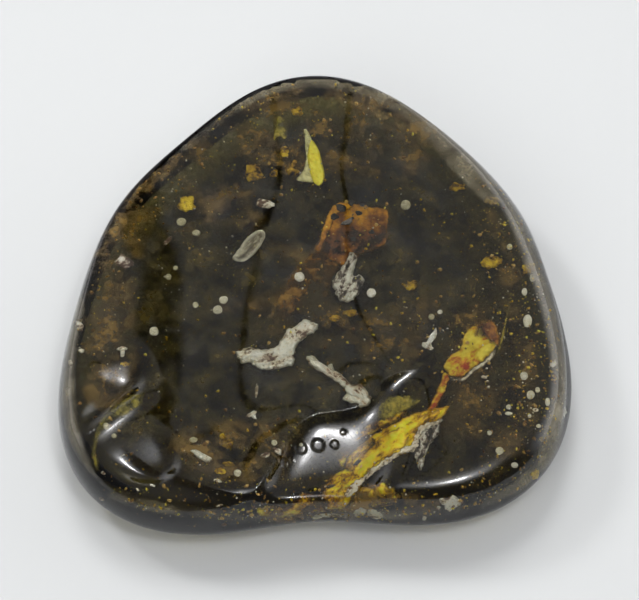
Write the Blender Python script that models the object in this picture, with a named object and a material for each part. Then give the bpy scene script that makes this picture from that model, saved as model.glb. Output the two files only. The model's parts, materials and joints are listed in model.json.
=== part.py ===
"""A polished piece of dark amber, 42 mm wide, with three bark crumbs sealed in it.

The stone is a flat pebble with three rounded corners. Its plan outline is a mean radius with six waves
on it. Its top is a low crown rounded over into a leaning wall, and the underside is ground flat. The
front has a low ridge with a step and a scoop beyond it, and the left has a dent, a groove and a thin lip.

The crumbs lie just under the polished top. Nothing can be put into a closed solid, so the amber is
parted along the layer in which they lie, with half of each crumb's pocket in either half.
Lengths are in metres. X runs to the right, Y to the back, Z up, and the origin is under the middle.
"""

import math

import bmesh
import bpy
import numpy as np
from mathutils import Matrix, Vector, noise

MM = 0.001

# Plan outline: mean radius, then the height and the direction in degrees of each wave's crest
MEAN_RADIUS = 20.56 * MM
OUTLINE_WAVES = {
    1: (2.12 * MM, -94.3),
    2: (0.50 * MM, 40.5),
    3: (1.84 * MM, -29.1),
    4: (0.77 * MM, -44.3),
    5: (0.57 * MM, 17.4),
    6: (0.12 * MM, -21.0),
}

# Side view: the widest level, the low crown, which rises towards the back, and how it is rounded into the wall
GIRDLE_HEIGHT = 3.8 * MM
CROWN_HEIGHT = 8.8 * MM
CROWN_DROP = 0.9 * MM
CROWN_RISE = 0.036
EDGE_ROUNDING = 0.5 * MM
UNDER_DEPTH = 4.8 * MM
UNDER_SQUARENESS = 5.0

# How far the wall leans in round the stone, as one over its height, with waves like the outline's
WALL_LEAN = 76.3
WALL_LEAN_WAVES = {1: (31.2, -46.0), 2: (13.6, 16.0)}

# Front ridge: its crest in plan, its height and spread, and the step down beyond it
RIDGE_CREST = [(-15.8, -14.4), (-13.3, -16.1), (-10.2, -17.8), (-6.0, -19.0), (-4.1, -18.9), (-2.5, -16.7),
               (-1.3, -14.3), (0.5, -12.5), (3.8, -11.5), (5.8, -8.9), (9.2, -7.6)]
RIDGE_HEIGHT = 0.30 * MM
RIDGE_SPREAD = 1.6 * MM
RIDGE_STEP = 0.55 * MM
RIDGE_STEP_SPREAD = 0.45 * MM
RIDGE_STEP_REACH = 5.0 * MM
RIDGE_FADE = 4.0 * MM

# Long shallow marks: centre, half length, half width, direction in degrees and height (less than 0 is a hollow)
SHOULDER = ((-15.5, -19.0), 6.0, 3.2, -40.0, -0.50)
DENT = ((-15.8, -8.8), 2.0, 1.3, 15.0, -0.60)
GROOVE = ((-16.8, -10.8), 3.2, 0.75, 42.0, -0.45)
LIP = ((-16.2, -12.2), 3.0, 0.65, 38.0, 0.30)
MARKS = (SHOULDER, DENT, GROOVE, LIP)

# Facets that slope to the front: centre, half length, half width, direction, and the point of the dome they hinge on
FACET_SLOPE = (-0.115, 0.413)
FACET_ROUNDING = 0.22 * MM
FACET_EDGE = 0.25 * MM
SCOOP = ((1.0, -16.2), 5.8, 4.2, 50.0, (1.6, -12.8))
CORNER = ((-14.5, -15.8), 3.4, 2.2, -25.0, (-14.5, -14.5))

# Ledge on the right side wall
LEDGE_HEIGHT = 4.7 * MM
LEDGE_THICKNESS = 0.9 * MM
LEDGE_DEPTH = 0.60 * MM
LEDGE_DIRECTION = -6.0
LEDGE_HALF_ANGLE = 24.0

# Sealed bark crumbs: centre in plan, length, width, thickness, direction in degrees, bend and noise seed
CRUMBS = {
    "crumb_long": ((-3.2, -5.1), 7.0, 1.9, 1.05, 26.0, 0.45, 3.0),
    "crumb_rod": ((1.65, -8.6), 6.2, 1.25, 0.95, -40.4, -0.25, 11.0),
    "crumb_oval": ((2.4, 0.65), 4.3, 1.6, 1.0, 73.7, 0.20, 23.0),
}
CRUMB_DEPTH = 1.20 * MM
CRUMB_LUMP = 0.24
CRUMB_LUMP_SIZE = 0.55 * MM
POCKET_GAP = 0.30 * MM

# Parting of the amber, a lower dome through the crumbs that leaves the side above the girdle
PARTING_GAP = 0.30 * MM
PARTING_EXIT = 1.3 * MM
PARTING_CENTRE_DEPTH = 1.3 * MM
PARTING_SQUARENESS = 2.6

# How finely each form is divided
STONE_CUTS = 21
PARTING_CELLS = 18
CRUMB_LEVELS = 4
POCKET_LEVELS = 2

CURVE_STEPS = 12


def clear_scene():
    for obj in list(bpy.data.objects):
        bpy.data.objects.remove(obj, do_unlink=True)


def make_material(name, colour, roughness, transmission=0.0):
    material = bpy.data.materials.new(name)
    material.use_nodes = True
    shader = material.node_tree.nodes["Principled BSDF"]
    shader.inputs["Base Color"].default_value = (*colour, 1.0)
    shader.inputs["Roughness"].default_value = roughness
    shader.inputs["Metallic"].default_value = 0.0
    shader.inputs["Transmission Weight"].default_value = transmission
    shader.inputs["IOR"].default_value = 1.54
    return material


def object_from(name, bm, material=None):
    mesh = bpy.data.meshes.new(name)
    bm.to_mesh(mesh)
    bm.free()
    mesh.shade_smooth()
    if material:
        mesh.materials.append(material)
    obj = bpy.data.objects.new(name, mesh)
    bpy.context.collection.objects.link(obj)
    return obj


def add_waves(mean, waves, angle):
    """A mean value with waves round the stone, each with a height and the direction of its crest."""
    value = np.full_like(angle, mean)
    for count, (height, crest) in waves.items():
        value = value + height * np.cos(count * (angle - math.radians(crest)))
    return value


def outline_radius(angle):
    """Distance from the outline's own centre to its edge, for an array of angles."""
    return add_waves(MEAN_RADIUS, OUTLINE_WAVES, angle)


def outline_middle():
    """Middle of the outline's box, which is put over the origin."""
    angle = np.linspace(-math.pi, math.pi, 1441)
    radius = outline_radius(angle)
    x = radius * np.cos(angle)
    y = radius * np.sin(angle)
    return np.array([(x.min() + x.max()) / 2, (y.min() + y.max()) / 2])


MIDDLE = outline_middle()


def reach(x, y):
    """0 over the outline's centre and 1 on the outline, for points in plan."""
    from_x = x + MIDDLE[0]
    from_y = y + MIDDLE[1]
    return np.hypot(from_x, from_y) / outline_radius(np.arctan2(from_y, from_x))


def crown_height(y):
    """Height of the crown over the outline's centre, which grows towards the back."""
    return CROWN_HEIGHT + CROWN_RISE * (y + MIDDLE[1])


def calm_top(x, y):
    """Height of the top before any mark: the lower of the crown and the wall, rounded where they meet."""
    flat = np.clip(reach(x, y), 0, 1)
    angle = np.arctan2(y + MIDDLE[1], x + MIDDLE[0])
    crown = crown_height(y) - CROWN_DROP * flat**2
    wall = GIRDLE_HEIGHT + np.sqrt(1 - flat**2) / add_waves(WALL_LEAN, WALL_LEAN_WAVES, angle)
    lower = np.minimum(crown, wall)
    blend = np.exp((lower - crown) / EDGE_ROUNDING) + np.exp((lower - wall) / EDGE_ROUNDING)
    return lower - EDGE_ROUNDING * np.log(blend)


def smooth_curve(points):
    """Points along a smooth open curve through the given ones."""
    ends = [2 * points[0] - points[1], *points, 2 * points[-1] - points[-2]]
    curve = []
    for a, b, c, d in zip(ends, ends[1:], ends[2:], ends[3:]):
        for step in range(CURVE_STEPS):
            t = step / CURVE_STEPS
            curve.append(0.5 * (2 * b + (c - a) * t + (2 * a - 5 * b + 4 * c - d) * t**2
                                + (3 * b - a - 3 * c + d) * t**3))
    return np.array([*curve, points[-1]])


RIDGE_CURVE = smooth_curve([np.array(point) * MM for point in RIDGE_CREST])


def beside_ridge(x, y):
    """Distance of each point from the ridge's crest, more than 0 on the plateau's side, and how near its ends it is."""
    start = RIDGE_CURVE[:-1]
    run = RIDGE_CURVE[1:] - start
    length = np.hypot(run[:, 0], run[:, 1])
    off_x = x[:, None] - start[:, 0]
    off_y = y[:, None] - start[:, 1]
    along = np.clip((off_x * run[:, 0] + off_y * run[:, 1]) / length**2, 0, 1)
    away = np.hypot(off_x - along * run[:, 0], off_y - along * run[:, 1])
    nearest = away.argmin(axis=1)
    rows = np.arange(len(x))
    side = run[nearest, 0] * off_y[rows, nearest] - run[nearest, 1] * off_x[rows, nearest]
    walked = np.concatenate([[0.0], np.cumsum(length)])
    place = walked[nearest] + along[rows, nearest] * length[nearest]
    from_end = np.minimum(place, walked[-1] - place)
    return np.copysign(away[rows, nearest], side), from_end


def mark_height(mark, x, y):
    """One long shallow hollow or rise, as a height over the dome."""
    (centre_x, centre_y), half_length, half_width, direction, height = mark
    turn = math.radians(direction)
    off_x = x / MM - centre_x
    off_y = y / MM - centre_y
    along = (off_x * math.cos(turn) + off_y * math.sin(turn)) / half_length
    across = (off_y * math.cos(turn) - off_x * math.sin(turn)) / half_width
    return height * MM * np.exp(-(along**4) - across**2)


def facet_cut(facet, x, y):
    """How far a flat facet, hinged at one point of the dome, cuts into it."""
    (centre_x, centre_y), half_length, half_width, direction, (hinge_x, hinge_y) = facet
    hinge = calm_top(np.array([hinge_x * MM]), np.array([hinge_y * MM]))[0]
    level = hinge + FACET_SLOPE[0] * (x - hinge_x * MM) + FACET_SLOPE[1] * (y - hinge_y * MM)
    over = np.clip((calm_top(x, y) - level) / FACET_ROUNDING, -30, 30)
    turn = math.radians(direction)
    off_x = x / MM - centre_x
    off_y = y / MM - centre_y
    along = (off_x * math.cos(turn) + off_y * math.sin(turn)) / half_length
    across = (off_y * math.cos(turn) - off_x * math.sin(turn)) / half_width
    return FACET_ROUNDING * np.log1p(np.exp(over)) * np.exp(-((along**2 + across**2) ** 3))


def relief(x, y):
    """What the ridge, the facets and the marks add to the dome. It fades out towards the side wall."""
    beside, from_end = beside_ridge(x, y)
    away = np.abs(beside)
    step_down = RIDGE_STEP * (1 - np.exp(-away / RIDGE_STEP_SPREAD)) * np.exp(-((away / RIDGE_STEP_REACH) ** 2))
    ridge = RIDGE_HEIGHT * np.exp(-away / RIDGE_SPREAD) - np.where(beside > 0, 0, step_down)
    ends = np.clip(from_end / RIDGE_FADE, 0, 1)
    height = ridge * ends**2 * (3 - 2 * ends)
    for mark in MARKS:
        height = height + mark_height(mark, x, y)
    beyond = np.where(beside > 0, 0, 1 - np.exp(-away / FACET_EDGE))
    height = height - facet_cut(SCOOP, x, y) * beyond - facet_cut(CORNER, x, y)
    return height * (1 - np.clip(reach(x, y), 0, 1) ** 16)


def ledge_cut(angle, z):
    """How far the side wall is cut in by the ledge on the right."""
    turn = np.degrees(angle) - LEDGE_DIRECTION
    turn = (turn + 180) % 360 - 180
    round_it = np.exp(-((turn / LEDGE_HALF_ANGLE) ** 4))
    return LEDGE_DEPTH * round_it * np.exp(-(((z - LEDGE_HEIGHT) / LEDGE_THICKNESS) ** 2))


def stone_surface(direction):
    """Points of the stone's surface, one for each unit direction from its middle."""
    flat = np.clip(np.hypot(direction[:, 0], direction[:, 1]), 0, 1)
    angle = np.arctan2(direction[:, 1], direction[:, 0])
    radius = outline_radius(angle)
    x = flat * radius * np.cos(angle) - MIDDLE[0]
    y = flat * radius * np.sin(angle) - MIDDLE[1]
    top = calm_top(x, y) + relief(x, y)
    under = np.maximum(GIRDLE_HEIGHT - UNDER_DEPTH * np.sqrt(1 - flat**UNDER_SQUARENESS), 0)
    z = np.where(direction[:, 2] >= 0, top, under)
    cut = ledge_cut(angle, z)
    return np.column_stack([x - cut * np.cos(angle), y - cut * np.sin(angle), z])


def make_stone():
    """The whole stone, from a cube whose faces are divided and bulged out to the surface."""
    bm = bmesh.new()
    bmesh.ops.create_cube(bm, size=2.0)
    bmesh.ops.subdivide_edges(bm, edges=bm.edges[:], cuts=STONE_CUTS - 1, use_grid_fill=True)
    on_cube = np.array([vert.co for vert in bm.verts])
    even = np.tan(on_cube * math.pi / 4)
    direction = even / np.linalg.norm(even, axis=1)[:, None]
    for vert, point in zip(bm.verts, stone_surface(direction)):
        vert.co = point
    bmesh.ops.recalc_face_normals(bm, faces=bm.faces[:])
    return object_from("stone", bm)


def parting_height(x, y):
    """Level at which the amber is parted."""
    inside = np.clip(1 - reach(x, y) ** PARTING_SQUARENESS, -1, 1)
    edge = GIRDLE_HEIGHT + PARTING_EXIT
    centre = crown_height(y) - PARTING_CENTRE_DEPTH
    return edge + (centre - edge) * inside


def make_parting_block(name, shift):
    """A block of everything above the parting level, shifted up or down by half the gap."""
    half = 1.25 * MEAN_RADIUS
    bm = bmesh.new()
    bmesh.ops.create_grid(bm, x_segments=PARTING_CELLS, y_segments=PARTING_CELLS, size=half)
    points = np.array([vert.co for vert in bm.verts])
    heights = parting_height(points[:, 0], points[:, 1])
    for vert, height in zip(bm.verts, heights):
        vert.co.z = height + shift
    raised = bmesh.ops.extrude_face_region(bm, geom=bm.faces[:])
    for item in raised["geom"]:
        if isinstance(item, bmesh.types.BMVert):
            item.co.z = 2 * CROWN_HEIGHT
    bmesh.ops.recalc_face_normals(bm, faces=bm.faces[:])
    return hide_cutter(object_from(name, bm))


def hide_cutter(obj):
    obj.hide_render = True
    obj.display_type = "WIRE"
    return obj


def top_frame(x, y, turn):
    """Place on the top, with Z along its normal and X turned in plan."""
    step = 0.2 * MM
    around_x = np.array([x, x + step, x])
    around_y = np.array([y, y, y + step])
    level = calm_top(around_x, around_y)
    normal = Vector((level[0] - level[1], level[0] - level[2], step)).normalized()
    along = Vector((math.cos(turn), math.sin(turn), 0))
    along = (along - normal * along.dot(normal)).normalized()
    across = normal.cross(along)
    place = Matrix((along, across, normal)).transposed().to_4x4()
    place.translation = Vector((x, y, level[0])) - normal * CRUMB_DEPTH
    return place


def crumb_shape(levels, length, width, thickness, bend, gap, seed=None):
    """A bent, tapered lump. With a seed its surface is crusty, and without one it is the smooth pocket around it."""
    bm = bmesh.new()
    bmesh.ops.create_icosphere(bm, subdivisions=levels, radius=1.0)
    for vert in bm.verts:
        unit = vert.co.copy()
        taper = 1 - 0.22 * unit.x
        point = Vector((unit.x * length / 2, unit.y * width / 2 * taper, unit.z * thickness / 2))
        if seed is None:
            stretch = Vector((length / 2, width / 2, thickness / 2))
            point += Vector((unit.x / stretch.x, unit.y / stretch.y, unit.z / stretch.z)).normalized() * gap
        else:
            lump = noise.noise(point / CRUMB_LUMP_SIZE + Vector((seed, 0, 0)))
            lump += 0.5 * noise.noise(2.3 * point / CRUMB_LUMP_SIZE + Vector((0, seed, 0)))
            shrink = 1 - CRUMB_LUMP + CRUMB_LUMP * max(-1.0, min(1.0, 1.6 * lump))
            point = Vector((point.x * (0.5 + 0.5 * shrink), point.y * shrink, point.z * shrink))
        point.y += bend * (unit.x**2 - 0.4)
        vert.co = point
    return bm


def make_crumbs(material):
    """Each sealed crumb, and a smooth pocket around it for cutting."""
    pockets = []
    for name, (centre, length, width, thickness, direction, bend, seed) in CRUMBS.items():
        size = (length * MM, width * MM, thickness * MM)
        place = top_frame(centre[0] * MM, centre[1] * MM, math.radians(direction))
        crumb = object_from(name, crumb_shape(CRUMB_LEVELS, *size, bend * MM, 0, seed), material)
        pocket = object_from(f"{name}_pocket", crumb_shape(POCKET_LEVELS, *size, bend * MM, POCKET_GAP))
        for obj in (crumb, pocket):
            obj.data.transform(place)
        pockets.append(hide_cutter(pocket))
    return pockets


def add_boolean(obj, operation, cutter):
    cut = obj.modifiers.new(f"{operation.lower()} {cutter.name}", "BOOLEAN")
    cut.operation = operation
    cut.object = cutter
    cut.solver = "EXACT"


def make_amber(material, pockets):
    """The two halves of the amber, parted with a thin gap."""
    stone = make_stone()
    above = make_parting_block("parting_above", PARTING_GAP / 2)
    below = make_parting_block("parting_below", -PARTING_GAP / 2)
    halves = (("amber_top", "INTERSECT", above), ("amber_base", "DIFFERENCE", below))
    for name, operation, block in halves:
        half = bpy.data.objects.new(name, stone.data.copy())
        half.data.name = name
        half.data.materials.append(material)
        bpy.context.collection.objects.link(half)
        add_boolean(half, operation, block)
        for pocket in pockets:
            add_boolean(half, "DIFFERENCE", pocket)
    bpy.data.objects.remove(stone, do_unlink=True)


def main():
    clear_scene()
    amber = make_material("amber", (0.055, 0.036, 0.012), 0.05, transmission=1.0)
    bark = make_material("bark_crust", (0.60, 0.53, 0.38), 0.85)
    pockets = make_crumbs(bark)
    make_amber(amber, pockets)


main()
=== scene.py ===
# %% [markdown]
# # A polished piece of dark amber
#
# The object is a flat pebble of fossil resin, 42 mm wide, with bits of bark sealed in it. It is nearly
# black because light loses most of its strength within a few millimetres of such resin, so only what
# lies close under the polish can be seen. The script builds the amber as a real see-through body and
# puts every crumb, flake and bubble inside it, at its own depth. Nothing is painted on the surface.

# %% Load the measured frame
import json
import math

import bmesh
import bpy
import numpy as np
from mathutils import Matrix, Vector, noise
from mathutils.geometry import delaunay_2d_cdt

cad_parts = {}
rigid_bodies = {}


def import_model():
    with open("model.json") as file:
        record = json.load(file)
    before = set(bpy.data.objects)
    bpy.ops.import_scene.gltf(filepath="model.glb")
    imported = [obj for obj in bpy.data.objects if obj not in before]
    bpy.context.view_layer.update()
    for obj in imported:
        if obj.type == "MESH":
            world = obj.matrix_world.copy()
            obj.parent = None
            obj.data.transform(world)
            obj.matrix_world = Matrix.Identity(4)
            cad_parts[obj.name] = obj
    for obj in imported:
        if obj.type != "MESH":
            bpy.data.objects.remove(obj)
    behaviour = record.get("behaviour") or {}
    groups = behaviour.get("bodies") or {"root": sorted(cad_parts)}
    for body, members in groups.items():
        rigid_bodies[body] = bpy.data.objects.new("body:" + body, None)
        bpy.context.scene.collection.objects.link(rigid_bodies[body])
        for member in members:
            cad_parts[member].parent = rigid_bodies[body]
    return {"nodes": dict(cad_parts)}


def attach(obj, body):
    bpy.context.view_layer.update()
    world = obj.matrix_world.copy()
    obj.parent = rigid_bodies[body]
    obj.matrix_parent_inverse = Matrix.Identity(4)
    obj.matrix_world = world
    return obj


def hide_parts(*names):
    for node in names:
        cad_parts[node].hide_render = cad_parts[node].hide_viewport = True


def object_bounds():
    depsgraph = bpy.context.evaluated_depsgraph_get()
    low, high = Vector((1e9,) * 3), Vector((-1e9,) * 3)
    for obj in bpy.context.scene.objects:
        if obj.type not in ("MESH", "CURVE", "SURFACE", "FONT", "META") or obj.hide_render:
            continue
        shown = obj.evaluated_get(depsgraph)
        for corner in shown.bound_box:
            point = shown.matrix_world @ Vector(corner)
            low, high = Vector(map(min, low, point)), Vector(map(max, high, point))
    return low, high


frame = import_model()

MM = 0.001
cad_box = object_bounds()
box_low, box_high = (np.array(corner) for corner in cad_box)
print("solids:", sorted(frame["nodes"]), "box in mm:", (box_low / MM).round(2), (box_high / MM).round(2))

# %% [markdown]
# ## The camera
#
# The stone was photographed from the front, looking down at about 60 degrees, from nearly half a metre
# with a long lens. A long lens keeps the outline close to its true shape, which is why small objects are
# shot that way. The camera comes first, because some marks below are placed where the photo shows them.

# %% Set up the camera
PHOTO_WIDTH = 639
PHOTO_HEIGHT = 600
LOOK_DOWN = math.radians(60.0)
CAMERA_DISTANCE = 420 * MM
FIELD_WIDTH = 52.4 * MM
SENSOR_WIDTH = 36.0
LOOK_AT = np.array([0.30, 0.31, 5.0]) * MM

to_camera = np.array([0, -math.cos(LOOK_DOWN), math.sin(LOOK_DOWN)])
image_right = np.array([1.0, 0, 0])
image_up = np.array([0, math.sin(LOOK_DOWN), math.cos(LOOK_DOWN)])
camera_place = LOOK_AT + to_camera * CAMERA_DISTANCE

camera_data = bpy.data.cameras.new("camera")
camera_data.sensor_fit = "HORIZONTAL"
camera_data.sensor_width = SENSOR_WIDTH
camera_data.lens = SENSOR_WIDTH * CAMERA_DISTANCE / FIELD_WIDTH
camera_data.clip_start = 10 * MM
camera = bpy.data.objects.new("camera", camera_data)
camera.location = camera_place
camera.rotation_euler = (math.pi / 2 - LOOK_DOWN, 0, 0)
bpy.context.scene.collection.objects.link(camera)
bpy.context.scene.camera = camera
print(f"lens {camera_data.lens:.0f} mm at {CAMERA_DISTANCE * 100:.0f} cm")

# %% [markdown]
# ## The form of the stone
#
# A tumbled stone has no straight line to draw, but it can be described. Its plan outline is a circle with
# a few waves added, each with a height and a direction, as a sound is made of tones. Its top is a low
# crown, rounded over into a wall that leans in most on the right. These are the forms of the solid model,
# so the finished surface lies on the solid. Only the ridge and the small facet on the left were moved
# by up to a millimetre here, where a second look at the photo placed them better.

# %% Describe the outline and the domes
MEAN_RADIUS = 20.56 * MM
OUTLINE_WAVES = {
    1: (2.12 * MM, -94.3),
    2: (0.50 * MM, 40.5),
    3: (1.84 * MM, -29.1),
    4: (0.77 * MM, -44.3),
    5: (0.57 * MM, 17.4),
    6: (0.12 * MM, -21.0),
}
GIRDLE_HEIGHT = 3.8 * MM
CROWN_HEIGHT = 8.8 * MM
CROWN_DROP = 0.9 * MM
CROWN_RISE = 0.036
WALL_LEAN = 76.3
WALL_LEAN_WAVES = {1: (31.2, -46.0), 2: (13.6, 16.0)}
EDGE_ROUNDING = 0.5 * MM
UNDER_DEPTH = 4.8 * MM
UNDER_SQUARENESS = 5.0


def add_waves(mean, waves, angle):
    """A mean value with waves round the stone, each with a height and the direction of its crest."""
    value = np.full_like(angle, mean)
    for count, (height, crest) in waves.items():
        value = value + height * np.cos(count * (angle - math.radians(crest)))
    return value


def outline_middle():
    """Middle of the outline's box, which lies over the origin."""
    angle = np.linspace(-math.pi, math.pi, 1441)
    radius = add_waves(MEAN_RADIUS, OUTLINE_WAVES, angle)
    x = radius * np.cos(angle)
    y = radius * np.sin(angle)
    return np.array([(x.min() + x.max()) / 2, (y.min() + y.max()) / 2])


MIDDLE = outline_middle()


def reach(x, y):
    """0 over the outline's centre and 1 on the outline."""
    from_x = x + MIDDLE[0]
    from_y = y + MIDDLE[1]
    return np.hypot(from_x, from_y) / add_waves(MEAN_RADIUS, OUTLINE_WAVES, np.arctan2(from_y, from_x))


def calm_top(x, y):
    """Height of the polished top before any mark is made on it."""
    flat = np.clip(reach(x, y), 0, 1)
    angle = np.arctan2(y + MIDDLE[1], x + MIDDLE[0])
    crown = CROWN_HEIGHT - CROWN_DROP * flat**2 + CROWN_RISE * (y + MIDDLE[1])
    wall = GIRDLE_HEIGHT + np.sqrt(1 - flat**2) / add_waves(WALL_LEAN, WALL_LEAN_WAVES, angle)
    lower = np.minimum(crown, wall)
    blend = np.exp((lower - crown) / EDGE_ROUNDING) + np.exp((lower - wall) / EDGE_ROUNDING)
    return lower - EDGE_ROUNDING * np.log(blend)


print("outline centre in mm:", (MIDDLE / MM).round(2))

# %% [markdown]
# ## The ridge, the scoop and the marks on the left
#
# Amber is resin that ran down a tree in several flows. Here the front edge keeps the lip of one flow as a
# low ridge with a step down beyond it, and a smooth scoop where the next flow ended. Polishing rounded
# them but left them in place. The ridge follows a crest line, and each hollow or rise beside it is one
# smooth bump with a length, a width and a direction.

# %% Give the sizes of the relief
# The crest line of the ridge from left to right, in millimetres.
RIDGE_CREST = [(-15.8, -14.4), (-13.3, -16.1), (-10.2, -17.8), (-6.4, -18.9), (-4.8, -18.6), (-3.5, -16.6),
               (-2.3, -14.2), (-0.3, -12.3), (3.5, -11.4), (5.8, -8.9), (9.2, -7.6)]
RIDGE_HEIGHT = 0.30 * MM
RIDGE_SPREAD = 1.6 * MM
RIDGE_STEP = 0.55 * MM
RIDGE_STEP_SPREAD = 0.45 * MM
RIDGE_STEP_REACH = 5.0 * MM
RIDGE_FADE = 4.0 * MM
CURVE_STEPS = 12

# A mark: its middle, half length and half width, its direction in degrees, and its height, in millimetres.
SHOULDER = ((-15.5, -19.0), 6.0, 3.2, -40.0, -0.50)
DENT = ((-15.8, -8.8), 2.0, 1.3, 15.0, -0.60)
GROOVE = ((-16.8, -10.8), 3.2, 0.75, 42.0, -0.45)
LIP = ((-16.2, -12.2), 3.0, 0.65, 38.0, 0.30)
MARKS = (SHOULDER, DENT, GROOVE, LIP)

FACET_SLOPE = (-0.115, 0.413)
FACET_ROUNDING = 0.22 * MM
FACET_EDGE = 0.25 * MM
EXPONENT_LIMIT = 30  # beyond it a facet is fully cut or not at all
# A facet: as a mark, but with the point of the dome that its plane goes through in place of a height.
SCOOP = ((1.0, -16.2), 5.8, 4.2, 50.0, (1.6, -12.8))
CORNER = ((-14.3, -15.0), 3.4, 2.2, -25.0, (-14.3, -13.7))

WALL_FADE = 16  # the power by which all relief dies out on the outline

LEDGE_HEIGHT = 4.7 * MM
LEDGE_THICKNESS = 0.9 * MM
LEDGE_DEPTH = 0.60 * MM
LEDGE_DIRECTION = -6.0
LEDGE_HALF_ANGLE = 24.0
print("marks:", len(MARKS), "ridge points:", len(RIDGE_CREST))

# %% [markdown]
# A crest line is only a few points, so a smooth curve is led through them. Every height beside it then
# depends on how far a place lies from that curve, and on which side.

# %% Follow the crest line
def smooth_curve(points, closed=False):
    """Points along a smooth curve through the given ones."""
    if closed:
        ends = [points[-1], *points, points[0], points[1]]
    else:
        ends = [2 * points[0] - points[1], *points, 2 * points[-1] - points[-2]]
    curve = []
    for a, b, c, d in zip(ends, ends[1:], ends[2:], ends[3:]):
        for step in range(CURVE_STEPS):
            t = step / CURVE_STEPS
            curve.append(0.5 * (2 * b + (c - a) * t + (2 * a - 5 * b + 4 * c - d) * t**2
                                + (3 * b - a - 3 * c + d) * t**3))
    if not closed:
        curve.append(points[-1])
    return np.array(curve)


RIDGE_CURVE = smooth_curve([np.array(point) * MM for point in RIDGE_CREST])


def beside_line(curve, x, y):
    """Distance from a line, more than 0 on its left, and the distance along it to its nearer end."""
    nearest_away = np.full(x.shape, np.inf)
    side = np.zeros(x.shape)
    place = np.zeros(x.shape)
    walked = 0.0
    for start, end in zip(curve, curve[1:]):
        run = end - start
        length = np.hypot(*run)
        off_x = x - start[0]
        off_y = y - start[1]
        along = np.clip((off_x * run[0] + off_y * run[1]) / length**2, 0, 1)
        away = np.hypot(off_x - along * run[0], off_y - along * run[1])
        closer = away < nearest_away
        nearest_away = np.where(closer, away, nearest_away)
        side = np.where(closer, run[0] * off_y - run[1] * off_x, side)
        place = np.where(closer, walked + along * length, place)
        walked += length
    return np.copysign(nearest_away, side), np.minimum(place, walked - place)


print(f"crest: {len(RIDGE_CURVE)} points, {np.hypot(*np.diff(RIDGE_CURVE, axis=0).T).sum() / MM:.1f} mm")

# %% [markdown]
# A mark is one bump or hollow. A facet is a flat cut: the height by which the dome stands over a tilted
# plane is taken off, with a rounded border. All of it dies out towards the outline.

# %% Add up the relief
def mark_height(mark, x, y):
    """One long shallow hollow or rise, as a height over the dome."""
    (centre_x, centre_y), half_length, half_width, direction, height = mark
    turn = math.radians(direction)
    off_x = x / MM - centre_x
    off_y = y / MM - centre_y
    along = (off_x * math.cos(turn) + off_y * math.sin(turn)) / half_length
    across = (off_y * math.cos(turn) - off_x * math.sin(turn)) / half_width
    return height * MM * np.exp(-(along**4) - across**2)


def facet_cut(facet, x, y):
    """How far a flat facet, hinged at one point of the dome, cuts into it."""
    (centre_x, centre_y), half_length, half_width, direction, (hinge_x, hinge_y) = facet
    hinge = calm_top(np.array([hinge_x * MM]), np.array([hinge_y * MM]))[0]
    level = hinge + FACET_SLOPE[0] * (x - hinge_x * MM) + FACET_SLOPE[1] * (y - hinge_y * MM)
    over = np.clip((calm_top(x, y) - level) / FACET_ROUNDING, -EXPONENT_LIMIT, EXPONENT_LIMIT)
    turn = math.radians(direction)
    off_x = x / MM - centre_x
    off_y = y / MM - centre_y
    along = (off_x * math.cos(turn) + off_y * math.sin(turn)) / half_length
    across = (off_y * math.cos(turn) - off_x * math.sin(turn)) / half_width
    return FACET_ROUNDING * np.log1p(np.exp(over)) * np.exp(-((along**2 + across**2) ** 3))


def relief(x, y):
    """What the ridge and the marks add to the dome."""
    beside, from_end = beside_line(RIDGE_CURVE, x, y)
    away = np.abs(beside)
    near = np.exp(-((away / RIDGE_STEP_REACH) ** 2))
    step_down = RIDGE_STEP * (1 - np.exp(-away / RIDGE_STEP_SPREAD)) * near
    ridge = RIDGE_HEIGHT * np.exp(-away / RIDGE_SPREAD) - np.where(beside > 0, 0, step_down)
    ends = np.clip(from_end / RIDGE_FADE, 0, 1)
    height = ridge * ends**2 * (3 - 2 * ends)
    for mark in MARKS:
        height = height + mark_height(mark, x, y)
    beyond = np.where(beside > 0, 0, 1 - np.exp(-away / FACET_EDGE))
    height = height - facet_cut(SCOOP, x, y) * beyond - facet_cut(CORNER, x, y)
    return height * (1 - np.clip(reach(x, y), 0, 1) ** WALL_FADE)


def ledge_cut(angle, z):
    """How far the side wall is cut in by the ledge on the right."""
    turn = np.degrees(angle) - LEDGE_DIRECTION
    turn = (turn + 180) % 360 - 180
    round_it = np.exp(-((turn / LEDGE_HALF_ANGLE) ** 4))
    return LEDGE_DEPTH * round_it * np.exp(-(((z - LEDGE_HEIGHT) / LEDGE_THICKNESS) ** 2))


scoop_middle = np.array([[SCOOP[0][0] * MM], [SCOOP[0][1] * MM]])
print("relief in the middle of the scoop in mm:", (relief(*scoop_middle) / MM).round(2))

# %% [markdown]
# ## The finer marks
#
# A hand-polished face is never quite even: it rolls by a few hundredths of a millimetre, which is what
# makes straight reflections wobble. In the scoop a few bubbles were cut open by the polishing and left as
# shallow round pits with steep walls, which show as rings. These are too fine for the solid model, so
# they are added only here.

# %% Describe the pits and the roll of the polish
ROLL_HEIGHT = 0.022 * MM
ROLL_LENGTH = 6.5 * MM
PIT_STEEPNESS = 6
# A pit: its middle, radius and depth, in millimetres.
PITS = [((-1.2, -14.6), 0.46, 0.09), ((0.2, -14.3), 0.50, 0.09), ((1.5, -14.2), 0.34, 0.07),
        ((2.2, -13.2), 0.22, 0.05), ((-2.6, -15.9), 0.34, 0.07), ((-1.9, -15.6), 0.20, 0.05)]


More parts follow.
